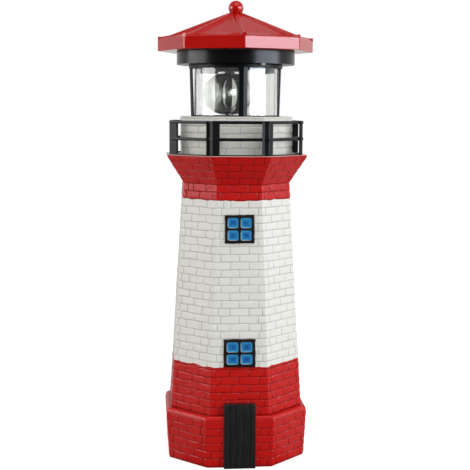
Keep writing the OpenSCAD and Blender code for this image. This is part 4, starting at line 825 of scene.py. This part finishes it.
def round_band(mesh, centre, z, height, outer_r, inner_r, rounding, steps=ROUND_STEPS):
    """A closed round ring of rectangular section with softened edges."""
    base = centre + Vector((0, 0, z))
    corners = ((outer_r, 0), (outer_r, height), (inner_r, height), (inner_r, 0))
    outline = [mesh.verts.new(base + Vector((radius, 0, up))) for radius, up in corners]
    face = mesh.faces.new(outline)
    softened = bmesh.ops.bevel(
        mesh, geom=outline, offset=rounding, segments=3, profile=0.5, affect="VERTICES", material=-1
    )["verts"]
    face = softened[0].link_faces[0]
    section = list(face.edges)
    bmesh.ops.delete(mesh, geom=[face], context="FACES_ONLY")
    made = bmesh.ops.spin(
        mesh, geom=section + [v for v in dict.fromkeys(w for e in section for w in e.verts)], cent=base,
        axis=(0, 0, 1), angle=2 * math.pi, steps=steps, use_merge=True
    )
    return made


cage = bmesh.new()
bmesh.ops.create_cone(
    cage, cap_ends=True, segments=ROUND_STEPS, radius1=CAGE_R, radius2=CAGE_R, depth=CAGE_FLOOR_H,
    matrix=Matrix.Translation((0, 0, deck_z - CAGE_FLOOR_H / 2))
)
bmesh.ops.bevel(
    cage, geom=[e for e in cage.edges if e.calc_face_angle(0) > 1], offset=CAGE_ROUND, segments=2, profile=0.5,
    affect="EDGES", material=-1
)
for k in range(4):
    low, high = deck_z - CAGE_FLOOR_H / 2, head_z - CAGE_RING_H / 2
    post = [
        cage.verts.new((x, -y, low)) for x, y in (
            (-POST_W / 2, POST_BACK), (-POST_W / 2, RIDGE_FOOT_R - RIDGE_IN), (0, RIDGE_FOOT_R),
            (POST_W / 2, RIDGE_FOOT_R - RIDGE_IN), (POST_W / 2, POST_BACK)
        )
    ]
    made = bmesh.ops.extrude_face_region(cage, geom=[cage.faces.new(post)])["geom"]
    top = elements(made, bmesh.types.BMVert)
    for vert in top:
        vert.co.z = high
        if vert.co.y < 0.01 - POST_BACK:
            vert.co.y -= RIDGE_TOP_R - RIDGE_FOOT_R
    edges = list(dict.fromkeys(e for v in top for f in v.link_faces for e in f.edges))
    long_edges = [e for e in edges if abs(e.verts[0].co.z - e.verts[1].co.z) > 1]
    made = bmesh.ops.bevel(
        cage, geom=long_edges, offset=CAGE_ROUND, segments=2, profile=0.5, affect="EDGES", material=-1
    )
    whole = list(dict.fromkeys(v for f in made["faces"] for v in f.verts))
    bmesh.ops.rotate(
        cage, cent=(0, 0, 0), matrix=Matrix.Rotation(math.radians(CAGE_TURN + 90 * k), 3, "Z"), verts=whole
    )
round_band(cage, Vector(), head_z - CAGE_RING_H, CAGE_RING_H, CAGE_R, POST_BACK, CAGE_ROUND)
round_band(cage, rotor_place, deck_z - 1, 1 + BOSS_RISE, BOSS_R, BOSS_BORE, 0.25, 48)
bmesh.ops.remove_doubles(cage, verts=cage.verts, dist=1e-4)
bmesh.ops.recalc_face_normals(cage, faces=cage.faces)
finish_piece(
    cage, "lantern_frame", "tower", [moulded_black("black_abs_cage", 0.36)], ["lantern_cage"]
)


def finish_node(node, material):
    """Gives a CAD node its finish."""
    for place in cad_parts[node].material_slots:
        place.material = material


def brushed_metal(name, dark, pale, roughness):
    """Plated or turned metal: fine streaks round the piece and a soft shine."""
    material, tree = start_material(name)
    place = on_surface(tree)
    streaks = add(tree, "Mapping", {"Vector": place, "Scale": (1 / 3, 1 / 3, 1 / 0.25)}).outputs[0]
    fine = add(tree, "TexNoise", {"Vector": streaks, "Scale": 1.0, "Detail": 3.0}).outputs[0]
    colour = add(tree, "Mix", {0: fine, 6: linear(dark), 7: linear(pale)}, data_type="RGBA")
    gloss = add(tree, "MapRange", {"Value": fine, "To Min": roughness * 0.8, "To Max": roughness * 1.3})
    shader = add(tree, "BsdfPrincipled", {
        "Base Color": colour.outputs[2], "Metallic": 1.0, "Roughness": gloss.outputs[0]
    })
    add(tree, "OutputMaterial", {"Surface": shader.outputs[0]})
    return material


zinc = brushed_metal("zinc_plated_steel", "9A9C9E", "BFC1C2", 0.32)
finish_node("cage_screws", zinc)
finish_node("pivot_bush", brushed_metal("turned_brass", "A5803E", "C8A45C", 0.3))


# ---- Glazing ----
# A length of clear acrylic tube between two black rubber rings. The extruded tube isn't quite even,
# which draws upright streaks through what is seen in it.
GLAZE_R, GLAZE_WALL = 33.1, 1.4
glaze_low, glaze_high = (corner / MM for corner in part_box("lantern_glazing"))


def clear_plastic(name, ripple_along, ripple_up, strength, tint):
    """Clear moulded plastic, with the slight ripples that it keeps from its tool."""
    material, tree = start_material(name)
    place = on_surface(tree)
    stretched = add(tree, "Mapping", {
        "Vector": place, "Scale": (1 / ripple_along, 1 / ripple_along, 1 / ripple_up)
    }).outputs[0]
    ripple = add(tree, "TexNoise", {"Vector": stretched, "Scale": 1.0, "Detail": 2.0}).outputs[0]
    bump = add(tree, "Bump", {"Height": ripple, "Strength": strength, "Distance": 0.2 * MM})
    colour = add(tree, "Mix", {0: ripple, 6: linear(tint), 7: linear("FFFFFF")}, data_type="RGBA")
    shader = add(tree, "BsdfPrincipled", {
        "Base Color": colour.outputs[2], "Roughness": 0.02, "IOR": 1.49, "Transmission Weight": 1.0,
        "Normal": bump.outputs[0]
    })
    add(tree, "OutputMaterial", {"Surface": shader.outputs[0]})
    return material


glazing = bmesh.new()
round_band(glazing, Vector(), glaze_low.z, glaze_high.z - glaze_low.z, GLAZE_R, GLAZE_R - GLAZE_WALL, 0.15, 128)
bmesh.ops.remove_doubles(glazing, verts=glazing.verts, dist=1e-4)
bmesh.ops.recalc_face_normals(glazing, faces=glazing.faces)
finish_piece(
    glazing, "lantern_tube", "tower", [clear_plastic("clear_acrylic_tube", 4, 60, 0.08, "CFD2CC")],
    ["lantern_glazing"]
)


def seal_rubber():
    """Black moulded rubber: matt, with a faint bloom."""
    material, tree = start_material("black_moulded_rubber")
    place = on_surface(tree)
    bloom = add(tree, "TexNoise", {"Vector": place, "Scale": 1 / 3, "Detail": 3.0}).outputs[0]
    colour = add(tree, "Mix", {0: bloom, 6: linear("17181A"), 7: linear("242628")}, data_type="RGBA")
    bump = add(tree, "Bump", {"Height": bloom, "Strength": 0.3, "Distance": 0.1 * MM})
    shader = add(tree, "BsdfPrincipled", {
        "Base Color": colour.outputs[2], "Roughness": 0.72, "IOR": 1.5, "Normal": bump.outputs[0]
    })
    add(tree, "OutputMaterial", {"Surface": shader.outputs[0]})
    return material


rubber = seal_rubber()
for node in ("glazing_foot_seal", "glazing_top_seal"):
    finish_node(node, rubber)


# ---- Lens rotor ----
# A square black plate with a round opening turns on a pin in the floor's bush and a hollow hub in
# the drum. A clear dome is glued to each of its faces over the opening.
LENS_TURN = math.radians(-60.8)
LENS_R, LENS_WALL, FLANGE_T = 16.0, 1.2, 1.2
FRONT_OUT, REAR_OUT = 6.6, 2.2
PLATE_T, OPENING_R = 4.0, 14.0
lens_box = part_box("lens_front")
lens_z = (lens_box[0].z + lens_box[1].z) / 2 / MM
rotor_turn = Matrix.Translation(rotor_place + Vector((0, 0, lens_z))) @ Matrix.Rotation(LENS_TURN, 4, "Z")


def softened_copy(node, offset, segments=2, angle=40):
    """A merged copy of a CAD node in millimetres, with its hard edges rounded."""
    mesh = bmesh.new()
    mesh.from_mesh(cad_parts[node].data)
    bmesh.ops.scale(mesh, vec=(1 / MM,) * 3, verts=mesh.verts)
    bmesh.ops.remove_doubles(mesh, verts=mesh.verts, dist=2e-3)
    bmesh.ops.dissolve_limit(mesh, angle_limit=math.radians(0.6), verts=mesh.verts, edges=mesh.edges)
    hard = [e for e in mesh.edges if e.is_manifold and e.calc_face_angle() > math.radians(angle)]
    bmesh.ops.bevel(
        mesh, geom=hard, offset=offset, segments=segments, profile=0.5, affect="EDGES", material=-1,
        clamp_overlap=True
    )
    return mesh


plate = softened_copy("lens_carrier", 0.25)
finish_piece(
    plate, "rotor_plate", "lens_rotor", [moulded_black("black_abs_rotor", 0.2)], ["lens_carrier"]
)

DOME_STEPS, ARC_STEPS = 72, 26


def dome(name, node, centre_out, facing, material):
    """A blown dome with a thick rim. Its section is drawn in the YZ plane and spun round Y."""
    mesh = bmesh.new()
    rim = PLATE_T / 2
    outer_end = math.acos((rim + 0.35 - centre_out) / LENS_R)
    inner_end = math.acos((rim + FLANGE_T - centre_out) / (LENS_R - LENS_WALL))
    centre = Vector((0, -centre_out, 0))
    outer = mesh.verts.new((0, -centre_out - LENS_R, 0))
    made = bmesh.ops.spin(
        mesh, geom=[outer], cent=centre, axis=(1, 0, 0), angle=-outer_end, steps=ARC_STEPS
    )["geom_last"]
    outer_foot = elements(made, bmesh.types.BMVert)[0]
    inner = mesh.verts.new((0, -centre_out - LENS_R + LENS_WALL, 0))
    made = bmesh.ops.spin(
        mesh, geom=[inner], cent=centre, axis=(1, 0, 0), angle=-inner_end, steps=ARC_STEPS
    )["geom_last"]
    inner_foot = elements(made, bmesh.types.BMVert)[0]
    side = math.copysign(1, outer_foot.co.z)
    rim_points = [
        mesh.verts.new((0, -rim - 0.1, side * (abs(outer_foot.co.z) + 0.15))), mesh.verts.new((0, -rim, side * 15.3)),
        mesh.verts.new((0, -rim, side * OPENING_R)), mesh.verts.new((0, -rim - FLANGE_T, side * OPENING_R))
    ]
    line = [outer_foot] + rim_points + [inner_foot]
    for a, b in zip(line, line[1:]):
        mesh.edges.new((a, b))
    bmesh.ops.spin(
        mesh, geom=mesh.verts[:] + mesh.edges[:], cent=(0, 0, 0), axis=(0, 1, 0), angle=2 * math.pi,
        steps=DOME_STEPS, use_merge=True
    )
    bmesh.ops.remove_doubles(mesh, verts=mesh.verts, dist=1e-3)
    bmesh.ops.recalc_face_normals(mesh, faces=mesh.faces)
    bmesh.ops.transform(mesh, matrix=rotor_turn @ Matrix.Rotation(facing, 4, "Z"), verts=mesh.verts)
    finish_piece(mesh, name, "lens_rotor", [material], [node])


FACET = 1.6


def faceted_lens():
    """Clear polystyrene, polished outside, with small square facets moulded inside round its pole."""
    material, tree = start_material("clear_faceted_polystyrene")
    place = on_surface(tree)
    turned = add(tree, "VectorRotate", {
        "Vector": place, "Center": tuple(rotor_place + Vector((0, 0, lens_z))), "Angle": -LENS_TURN
    }, rotation_type="Z_AXIS").outputs[0]
    parts = add(tree, "SeparateXYZ", {0: turned})
    across = add(tree, "Math", {0: parts.outputs["X"], 1: FACET / 2}, operation="PINGPONG").outputs[0]
    upward = add(tree, "Math", {0: parts.outputs["Z"], 1: FACET / 2}, operation="PINGPONG").outputs[0]
    both = add(tree, "Math", {0: across, 1: upward}, operation="ADD").outputs[0]
    centre = add(tree, "VectorMath", {
        0: turned, 1: (rotor_place.x, rotor_place.y - FRONT_OUT - LENS_R, lens_z)
    }, operation="DISTANCE").outputs["Value"]
    near = add(tree, "MapRange", {"Value": centre, "From Min": 12.5, "From Max": 14.0, "To Min": 1.0, "To Max": 0.0})
    height = add(tree, "Math", {0: both, 1: near.outputs[0]}, operation="MULTIPLY").outputs[0]
    bump = add(tree, "Bump", {"Height": height, "Strength": 0.55, "Distance": 0.5 * MM})
    shader = add(tree, "BsdfPrincipled", {
        "Base Color": linear("F6F8F5"), "Roughness": 0.03, "IOR": 1.55, "Transmission Weight": 1.0,
        "Normal": bump.outputs[0]
    })
    add(tree, "OutputMaterial", {"Surface": shader.outputs[0]})
    return material


dome("front_lens", "lens_front", FRONT_OUT, 0, faceted_lens())
dome("rear_lens", "lens_rear", REAR_OUT, math.pi, clear_plastic("clear_polystyrene_dome", 5, 5, 0.2, "F6F8F5"))


def moulded_nylon(name, dark, pale, roughness):
    """Moulded nylon or a like pale plastic: waxy, and a little cloudy under its skin."""
    material, tree = start_material(name)
    place = on_surface(tree)
    cloud = add(tree, "TexNoise", {"Vector": place, "Scale": 1 / 2.5, "Detail": 2.0}).outputs[0]
    colour = add(tree, "Mix", {0: cloud, 6: linear(dark), 7: linear(pale)}, data_type="RGBA")
    bump = add(tree, "Bump", {"Height": cloud, "Strength": 0.15, "Distance": 0.1 * MM})
    shader = add(tree, "BsdfPrincipled", {
        "Base Color": colour.outputs[2], "Roughness": roughness, "IOR": 1.53, "Subsurface Weight": 0.08,
        "Subsurface Scale": 0.6 * MM, "Normal": bump.outputs[0]
    })
    add(tree, "OutputMaterial", {"Surface": shader.outputs[0]})
    return material


nylon = moulded_nylon("natural_nylon", "D6D2C2", "E6E3D6", 0.42)
for node in ("lens_gear", "pinion_gear"):
    finish_node(node, nylon)
for node in ("pivot_pin", "motor_shaft"):
    finish_node(node, zinc)


# ---- Drum ----
# The black lamp housing: a round tray, open at the top, that holds the cell, the board and the
# drive. Its three lugs drop inside the glazing, and four screws from below reach the roof's posts.
drum = softened_copy("drum_housing", 0.35, 3)
finish_piece(
    drum, "drum", "lamp_head", [moulded_black("black_abs_drum", 0.24)], ["drum_housing"]
)
finish_node("drum_gasket", rubber)
finish_node("housing_screws", zinc)


# ---- Switch ----
# A slide switch stands over a slot in the drum's floor, and its pale knob is worked from below.
black_part = moulded_black("black_nylon_parts", 0.45)
pale_part = moulded_nylon("pale_acetal", "C9CBC6", "DCDEDA", 0.35)
finish_node("switch_body", black_part)
knob = softened_copy("switch_knob", 0.2)
finish_piece(knob, "slide_knob", "switch_knob", [pale_part], ["switch_knob"])


# ---- Battery and electrics ----
# One rechargeable cell lies between a contact plate and a spring under a screwed cover. Above the
# drum's floor are the board, the gear motor on its bracket, and the diode's tube.
def lead_cover(name, dark, pale):
    """Extruded PVC insulation: even, with a soft shine."""
    material, tree = start_material(name)
    place = on_surface(tree)
    cloud = add(tree, "TexNoise", {"Vector": place, "Scale": 1 / 2, "Detail": 2.0}).outputs[0]
    colour = add(tree, "Mix", {0: cloud, 6: linear(dark), 7: linear(pale)}, data_type="RGBA")
    shader = add(tree, "BsdfPrincipled", {"Base Color": colour.outputs[2], "Roughness": 0.4, "IOR": 1.53})
    add(tree, "OutputMaterial", {"Surface": shader.outputs[0]})
    return material


def woven_laminate():
    """Glass-epoxy board under green solder resist: the weave shows through as a fine check."""
    material, tree = start_material("glass_epoxy_laminate")
    place = on_surface(tree)
    weave = add(tree, "TexChecker", {
        "Vector": place, "Color1": linear("14532E"), "Color2": linear("1B6338"), "Scale": 1 / 0.5
    })
    shader = add(tree, "BsdfPrincipled", {"Base Color": weave.outputs[0], "Roughness": 0.28, "IOR": 1.5})
    add(tree, "OutputMaterial", {"Surface": shader.outputs[0]})
    return material


def shrink_sleeve():
    """Green PVC shrunk on the cell, wrinkled a little, with its steel end bare."""
    material, tree = start_material("green_shrink_sleeve")
    place = on_surface(tree)
    wrinkle = add(tree, "TexNoise", {"Vector": place, "Scale": 1 / 4, "Detail": 2.0}).outputs[0]
    colour = add(tree, "Mix", {0: wrinkle, 6: linear("1E6B45"), 7: linear("277C52")}, data_type="RGBA")
    bump = add(tree, "Bump", {"Height": wrinkle, "Strength": 0.3, "Distance": 0.2 * MM})
    shader = add(tree, "BsdfPrincipled", {
        "Base Color": colour.outputs[2], "Roughness": 0.25, "IOR": 1.53, "Normal": bump.outputs[0]
    })
    add(tree, "OutputMaterial", {"Surface": shader.outputs[0]})
    return material


finish_node("battery_cell", shrink_sleeve())
finish_node("circuit_board", woven_laminate())
red_lead, black_lead = lead_cover("red_pvc", "9C1510", "B01C14"), lead_cover("black_pvc", "101112", "1C1D1E")
for node in ("solar_lead_left", "battery_lead_plus", "motor_lead"):
    finish_node(node, red_lead)
for node in ("solar_lead_right", "battery_lead_minus", "switch_lead"):
    finish_node(node, black_lead)
for node in ("battery_contact", "battery_spring", "battery_cover_screw", "board_screws", "motor_screws",
             "gear_motor", "motor_bracket"):
    finish_node(node, zinc)
finish_node("battery_cover", moulded_black("black_abs_cover", 0.35))
finish_node("led_tube", black_part)
finish_node("led_lamp", clear_plastic("clear_epoxy_diode", 3, 3, 0.1, "F4F4E8"))


# ---- Soffit ----
# A flat red plate with a round opening is let in under the eaves and rests on the drum's gasket.
def moulded_red(name, roughness):
    """Red ABS, moulded glossy: deep colour under a mirror-like skin with faint flow clouds."""
    material, tree = start_material(name)
    place = on_surface(tree)
    flow = add(tree, "TexNoise", {"Vector": place, "Scale": 1 / 16, "Detail": 3.0}).outputs[0]
    colour = add(tree, "Mix", {0: flow, 6: linear("AC0B05"), 7: linear("BA0F07")}, data_type="RGBA")
    gloss = add(tree, "MapRange", {"Value": flow, "To Min": roughness * 0.8, "To Max": roughness * 1.3})
    bump = add(tree, "Bump", {"Height": flow, "Strength": 0.1, "Distance": 0.3 * MM})
    shader = add(tree, "BsdfPrincipled", {
        "Base Color": colour.outputs[2], "Roughness": gloss.outputs[0], "IOR": 1.5, "Normal": bump.outputs[0]
    })
    add(tree, "OutputMaterial", {"Surface": shader.outputs[0]})
    return material


red_gloss = moulded_red("red_abs_gloss", 0.14)
soffit = softened_copy("roof_soffit", 0.25)
finish_piece(soffit, "soffit", "lamp_head", [red_gloss], ["roof_soffit"])


# ---- Roof ----
# One red moulding with eight sloping sides, a deep fascia, a rounded rib on each hip that kicks up
# at the eaves, and a shallow recess in every side. The four recesses at the back hold solar cells.
ROOF_R, BEND_R, CROWN_R = 61.6, 52.0, 5.0
ROOF_TURN = math.radians(1.3)
SHELL_T, LIP_T = 2.2, 1.4
FASCIA_H, BEND_RISE, CROWN_RISE = 9.5, 1.7, 18.1
PANEL_TOP, PANEL_FOOT, PANEL_BORDER, PANEL_DEPTH = 12.0, 46.0, 3.6, 0.9
CELL_RIM, PLAIN_RIM = 0.35, 1.7       # width of a recess's sloping rim, with a cell and without
FASCIA_ROUND, ROOF_ROUND = 0.9, 0.28
RIB_W, RIB_H, RIB_TIP_H, RIB_TIP_L, RIB_END_IN, RIB_SINK, RIB_ROUND = 3.3, 1.1, 0.8, 3.0, 0.3, 1.0, 1.3
SCREW_POST_R, SCREW_RING_R, SCREW_TURN = 3.0, 41.2, math.radians(-22.5)
FINIAL_BOSS_R, FINIAL_BOSS_H = 4.8, 9.0

eave_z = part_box("roof_shell")[0].z / MM
fascia_z = eave_z + FASCIA_H
bend_z = fascia_z + BEND_RISE
crown_z = bend_z + CROWN_RISE
soffit_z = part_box("roof_soffit")[1].z / MM
roof_slope = CROWN_RISE / (BEND_R - CROWN_R)


def hip_z(r):
    """Height of the roof's hip at a distance from the axis."""
    if r > BEND_R:
        return fascia_z + (ROOF_R - r) * BEND_RISE / (ROOF_R - BEND_R)
    return bend_z + (BEND_R - r) * roof_slope


roof = bmesh.new()
hip_of = roof.verts.layers.int.new("hip")


def roof_ring(ring, z, r):
    """Draws a ring of the roof's octagon out to another level."""
    made = bmesh.ops.extrude_edge_only(roof, edges=ring)["geom"]
    for vert in elements(made, bmesh.types.BMVert):
        turn = vert[hip_of] * 2 * HALF_SIDE
        vert.co = Vector((r * math.cos(turn), r * math.sin(turn), z))
    return [e for e in elements(made, bmesh.types.BMEdge) if e.is_boundary], elements(made, bmesh.types.BMFace)


start = bmesh.ops.create_circle(roof, segments=SIDES, radius=ROOF_R)["verts"]
for hip, vert in enumerate(start):
    vert[hip_of] = hip
    turn = hip * 2 * HALF_SIDE
    vert.co = Vector((ROOF_R * math.cos(turn), ROOF_R * math.sin(turn), eave_z))
eave_ring = list(roof.edges)
ring, fascia = roof_ring(eave_ring, fascia_z, ROOF_R)
fascia_ring = ring
ring, _ = roof_ring(ring, bend_z, BEND_R)
ring, slopes = roof_ring(ring, crown_z, CROWN_R)
bmesh.ops.edgeloop_fill(roof, edges=ring)
corner_edges = [e for e in roof.edges if abs(e.verts[0].co.z - e.verts[1].co.z) > FASCIA_H - 1
                and abs(e.verts[0].co.x - e.verts[1].co.x) < 0.1]

low_r = ROOF_R - SHELL_T / SIDE_COS
ring, _ = roof_ring(eave_ring, eave_z, ROOF_R - LIP_T)
ring, _ = roof_ring(ring, soffit_z, ROOF_R - LIP_T)
ring, _ = roof_ring(ring, soffit_z, low_r)
ring, _ = roof_ring(ring, hip_z(low_r) - SHELL_T, low_r)
ring, _ = roof_ring(ring, bend_z - SHELL_T, BEND_R)
ring, _ = roof_ring(ring, crown_z - SHELL_T, CROWN_R)
bmesh.ops.edgeloop_fill(roof, edges=ring)
bmesh.ops.recalc_face_normals(roof, faces=roof.faces)


def cut_roof(faces, point, normal):
    """Cuts faces of the roof along a plane and returns all of them."""
    geometry = dict.fromkeys(faces)
    for face in faces:
        geometry.update(dict.fromkeys(face.edges))
        geometry.update(dict.fromkeys(face.verts))
    made = bmesh.ops.bisect_plane(roof, geom=list(geometry), dist=1e-4, plane_co=point, plane_no=normal)
    return elements(made["geom"], bmesh.types.BMFace)


panels = {CELL_RIM: [], PLAIN_RIM: []}
for face in slopes:
    middle = face.calc_center_median()
    turn = math.atan2(middle.y, middle.x)
    outward = Vector((math.cos(turn), math.sin(turn), 0))
    across = Vector((-math.sin(turn), math.cos(turn), 0))
    faces = cut_roof([face], outward * PANEL_TOP, outward)
    faces = cut_roof(faces, outward * PANEL_FOOT, outward)
    for side in (-1, 1):
        hip = Matrix.Rotation(side * HALF_SIDE, 3, "Z") @ outward
        faces = cut_roof(faces, across * -side * PANEL_BORDER, Vector((-hip.y, hip.x, 0)))
    for part in faces:
        centre = part.calc_center_median()
        if PANEL_TOP < centre.dot(outward) < PANEL_FOOT and abs(centre.dot(across)) < 1:
            panels[CELL_RIM if outward.y > 0 else PLAIN_RIM].append(part)
rim_edges = []
for rim, faces in panels.items():
    bmesh.ops.inset_individual(roof, faces=faces, thickness=rim, depth=-PANEL_DEPTH, use_even_offset=True)
    rim_edges += [e for f in faces for inner in f.edges for g in inner.link_faces if g is not f for e in g.edges]
bmesh.ops.bevel(
    roof, geom=[e for e in dict.fromkeys(rim_edges) if e.calc_face_angle(0) > 0.25], offset=ROOF_ROUND,
    segments=2, profile=0.5, affect="EDGES", material=-1
)
bmesh.ops.bevel(
    roof, geom=corner_edges + fascia_ring, offset=FASCIA_ROUND, segments=4, profile=0.5, affect="EDGES",
    material=-1
)
eave_edges = [
    e for e in roof.edges
    if e.calc_face_angle(0) > 0.5 and all(abs(v.co.z - eave_z) < 0.01 and v.co.xy.length > ROOF_R * SIDE_COS - 0.5
                                          for v in e.verts)
]
bmesh.ops.bevel(roof, geom=eave_edges, offset=ROOF_ROUND, segments=2, profile=0.5, affect="EDGES", material=-1)

for k in range(SIDES):
    tip_r = ROOF_R - RIB_TIP_L
    outline = (
        (CROWN_R - 1, crown_z - RIB_SINK), (CROWN_R - 1, crown_z + RIB_H), (CROWN_R, crown_z + RIB_H),
        (BEND_R, bend_z + RIB_H), (tip_r, hip_z(tip_r) + RIB_H),
        (ROOF_R - RIB_END_IN - 0.9, fascia_z + RIB_H + RIB_TIP_H * 0.75),
        (ROOF_R - RIB_END_IN, fascia_z + RIB_H + RIB_TIP_H),
        (ROOF_R - RIB_END_IN, fascia_z - RIB_SINK), (BEND_R, bend_z - RIB_SINK)
    )
    face = roof.faces.new([roof.verts.new((x, -RIB_W / 2, z)) for x, z in outline])
    made = bmesh.ops.extrude_face_region(roof, geom=[face])["geom"]
    far = elements(made, bmesh.types.BMVert)
    bmesh.ops.translate(roof, verts=far, vec=(0, RIB_W, 0))
    both = list(dict.fromkeys(v for w in far for f in w.link_faces for v in f.verts))
    upper = [
        e for e in dict.fromkeys(e for v in both for e in v.link_edges)
        if abs(e.verts[0].co.y - e.verts[1].co.y) < 0.1
        and all(v.co.z > hip_z(min(v.co.x, ROOF_R)) + 0.3 for v in e.verts)
    ]
    made = bmesh.ops.bevel(
        roof, geom=upper, offset=RIB_ROUND, segments=4, profile=0.5, affect="EDGES", material=-1
    )
    whole = list(dict.fromkeys(
        v for w in both + made["verts"] if w.is_valid for f in w.link_faces for v in f.verts
    ))
    bmesh.ops.rotate(
        roof, cent=(0, 0, 0), matrix=Matrix.Rotation(2 * HALF_SIDE * k, 3, "Z"), verts=whole
    )
bmesh.ops.rotate(roof, cent=(0, 0, 0), matrix=Matrix.Rotation(ROOF_TURN, 3, "Z"), verts=roof.verts)
drum_top_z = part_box("drum_gasket")[0].z / MM
post_top = hip_z((SCREW_RING_R + SCREW_POST_R) / SIDE_COS) - PANEL_DEPTH - 0.4
for k in range(4):
    turn = SCREW_TURN + k * math.pi / 2
    foot = Vector((math.sin(turn), -math.cos(turn), 0)) * SCREW_RING_R
    bmesh.ops.create_cone(
        roof, cap_ends=True, segments=32, radius1=SCREW_POST_R, radius2=SCREW_POST_R,
        depth=post_top - drum_top_z, matrix=Matrix.Translation(foot + Vector((0, 0, (post_top + drum_top_z) / 2)))
    )
bmesh.ops.create_cone(
    roof, cap_ends=True, segments=32, radius1=FINIAL_BOSS_R, radius2=FINIAL_BOSS_R, depth=FINIAL_BOSS_H - 1,
    matrix=Matrix.Translation((0, 0, crown_z - FINIAL_BOSS_H / 2 - 0.5))
)
bmesh.ops.recalc_face_normals(roof, faces=roof.faces)
finish_piece(roof, "roof", "lamp_head", [red_gloss], ["roof_shell"])


# ---- Ball ----
# The red ball on the crown is one moulding with its neck and the spigot that is pressed in.
BALL_R, BALL_UP, NECK_BALL_R = 5.9, 4.5, 3.7
SPIGOT_R, SPIGOT_L = 2.2, 7.0
BALL_STEPS = 48

ball = bmesh.new()
bmesh.ops.create_uvsphere(
    ball, u_segments=BALL_STEPS, v_segments=32, radius=BALL_R, matrix=Matrix.Translation((0, 0, crown_z + BALL_UP))
)
bmesh.ops.bisect_plane(
    ball, geom=ball.verts[:] + ball.edges[:] + ball.faces[:], dist=1e-4, plane_co=(0, 0, crown_z + 0.3),
    plane_no=(0, 0, -1), clear_outer=True
)
ring = [e for e in ball.edges if e.is_boundary]
for radius, z in ((NECK_BALL_R, crown_z + 0.1), (NECK_BALL_R, crown_z), (SPIGOT_R, crown_z),
                  (SPIGOT_R, crown_z - SPIGOT_L + 0.4), (SPIGOT_R - 0.4, crown_z - SPIGOT_L)):
    made = bmesh.ops.extrude_edge_only(ball, edges=ring)["geom"]
    for vert in elements(made, bmesh.types.BMVert):
        flat = Vector((vert.co.x, vert.co.y, 0)).normalized() * radius
        vert.co = flat + Vector((0, 0, z))
    ring = [e for e in elements(made, bmesh.types.BMEdge) if e.is_boundary]
bmesh.ops.edgeloop_fill(ball, edges=ring)
bmesh.ops.recalc_face_normals(ball, faces=ball.faces)
finish_piece(ball, "ball", "lamp_head", [red_gloss], ["roof_ball"])


# ---- Solar cells ----
# Four thin trapezoids of dark silicon under clear resin fill the recesses at the back. Silver
# lines run across them.
LINE_PITCH, LINE_W = 2.2, 0.22
SLOPE_DROP = 0.9      # the recesses lie this much lower at the bend than the cells are packed


def silicon():
    """Dark blue-brown silicon under clear resin, with printed silver lines across the slope."""
    material, tree = start_material("amorphous_silicon_cell")
    place = on_surface(tree)
    parts = add(tree, "SeparateXYZ", {0: place})
    grain = add(tree, "TexVoronoi", {"Vector": place, "Scale": 1 / 3.5}).outputs["Color"]
    level = add(tree, "SeparateColor", {0: grain}).outputs[0]
    face = add(tree, "Mix", {0: level, 6: linear("0B0F1E"), 7: linear("141B33")}, data_type="RGBA")
    phase = add(tree, "Math", {0: parts.outputs["Z"], 1: LINE_PITCH * 0.34}, operation="MODULO").outputs[0]
    line = add(tree, "Math", {0: phase, 1: LINE_W * 0.34}, operation="LESS_THAN").outputs[0]
    colour = add(tree, "Mix", {0: line, 6: face.outputs[2], 7: linear("9FA6AE")}, data_type="RGBA")
    shader = add(tree, "BsdfPrincipled", {
        "Base Color": colour.outputs[2], "Roughness": 0.22, "IOR": 1.5, "Coat Weight": 1.0, "Coat Roughness": 0.04
    })
    add(tree, "OutputMaterial", {"Surface": shader.outputs[0]})
    return material


cell_face = silicon()
for k in range(4):
    cell = softened_copy(f"solar_cell_{k + 1}", 0.15)
    middle = sum((v.co for v in cell.verts), Vector()) / len(cell.verts)
    outward = Vector((middle.x, middle.y, 0)).normalized()
    for vert in cell.verts:
        out = vert.co.dot(outward) / SIDE_COS
        vert.co.z -= SLOPE_DROP * (out - CROWN_R) / (BEND_R - CROWN_R)
    finish_piece(cell, f"solar_panel_{k + 1}", "lamp_head", [cell_face], [f"solar_cell_{k + 1}"])
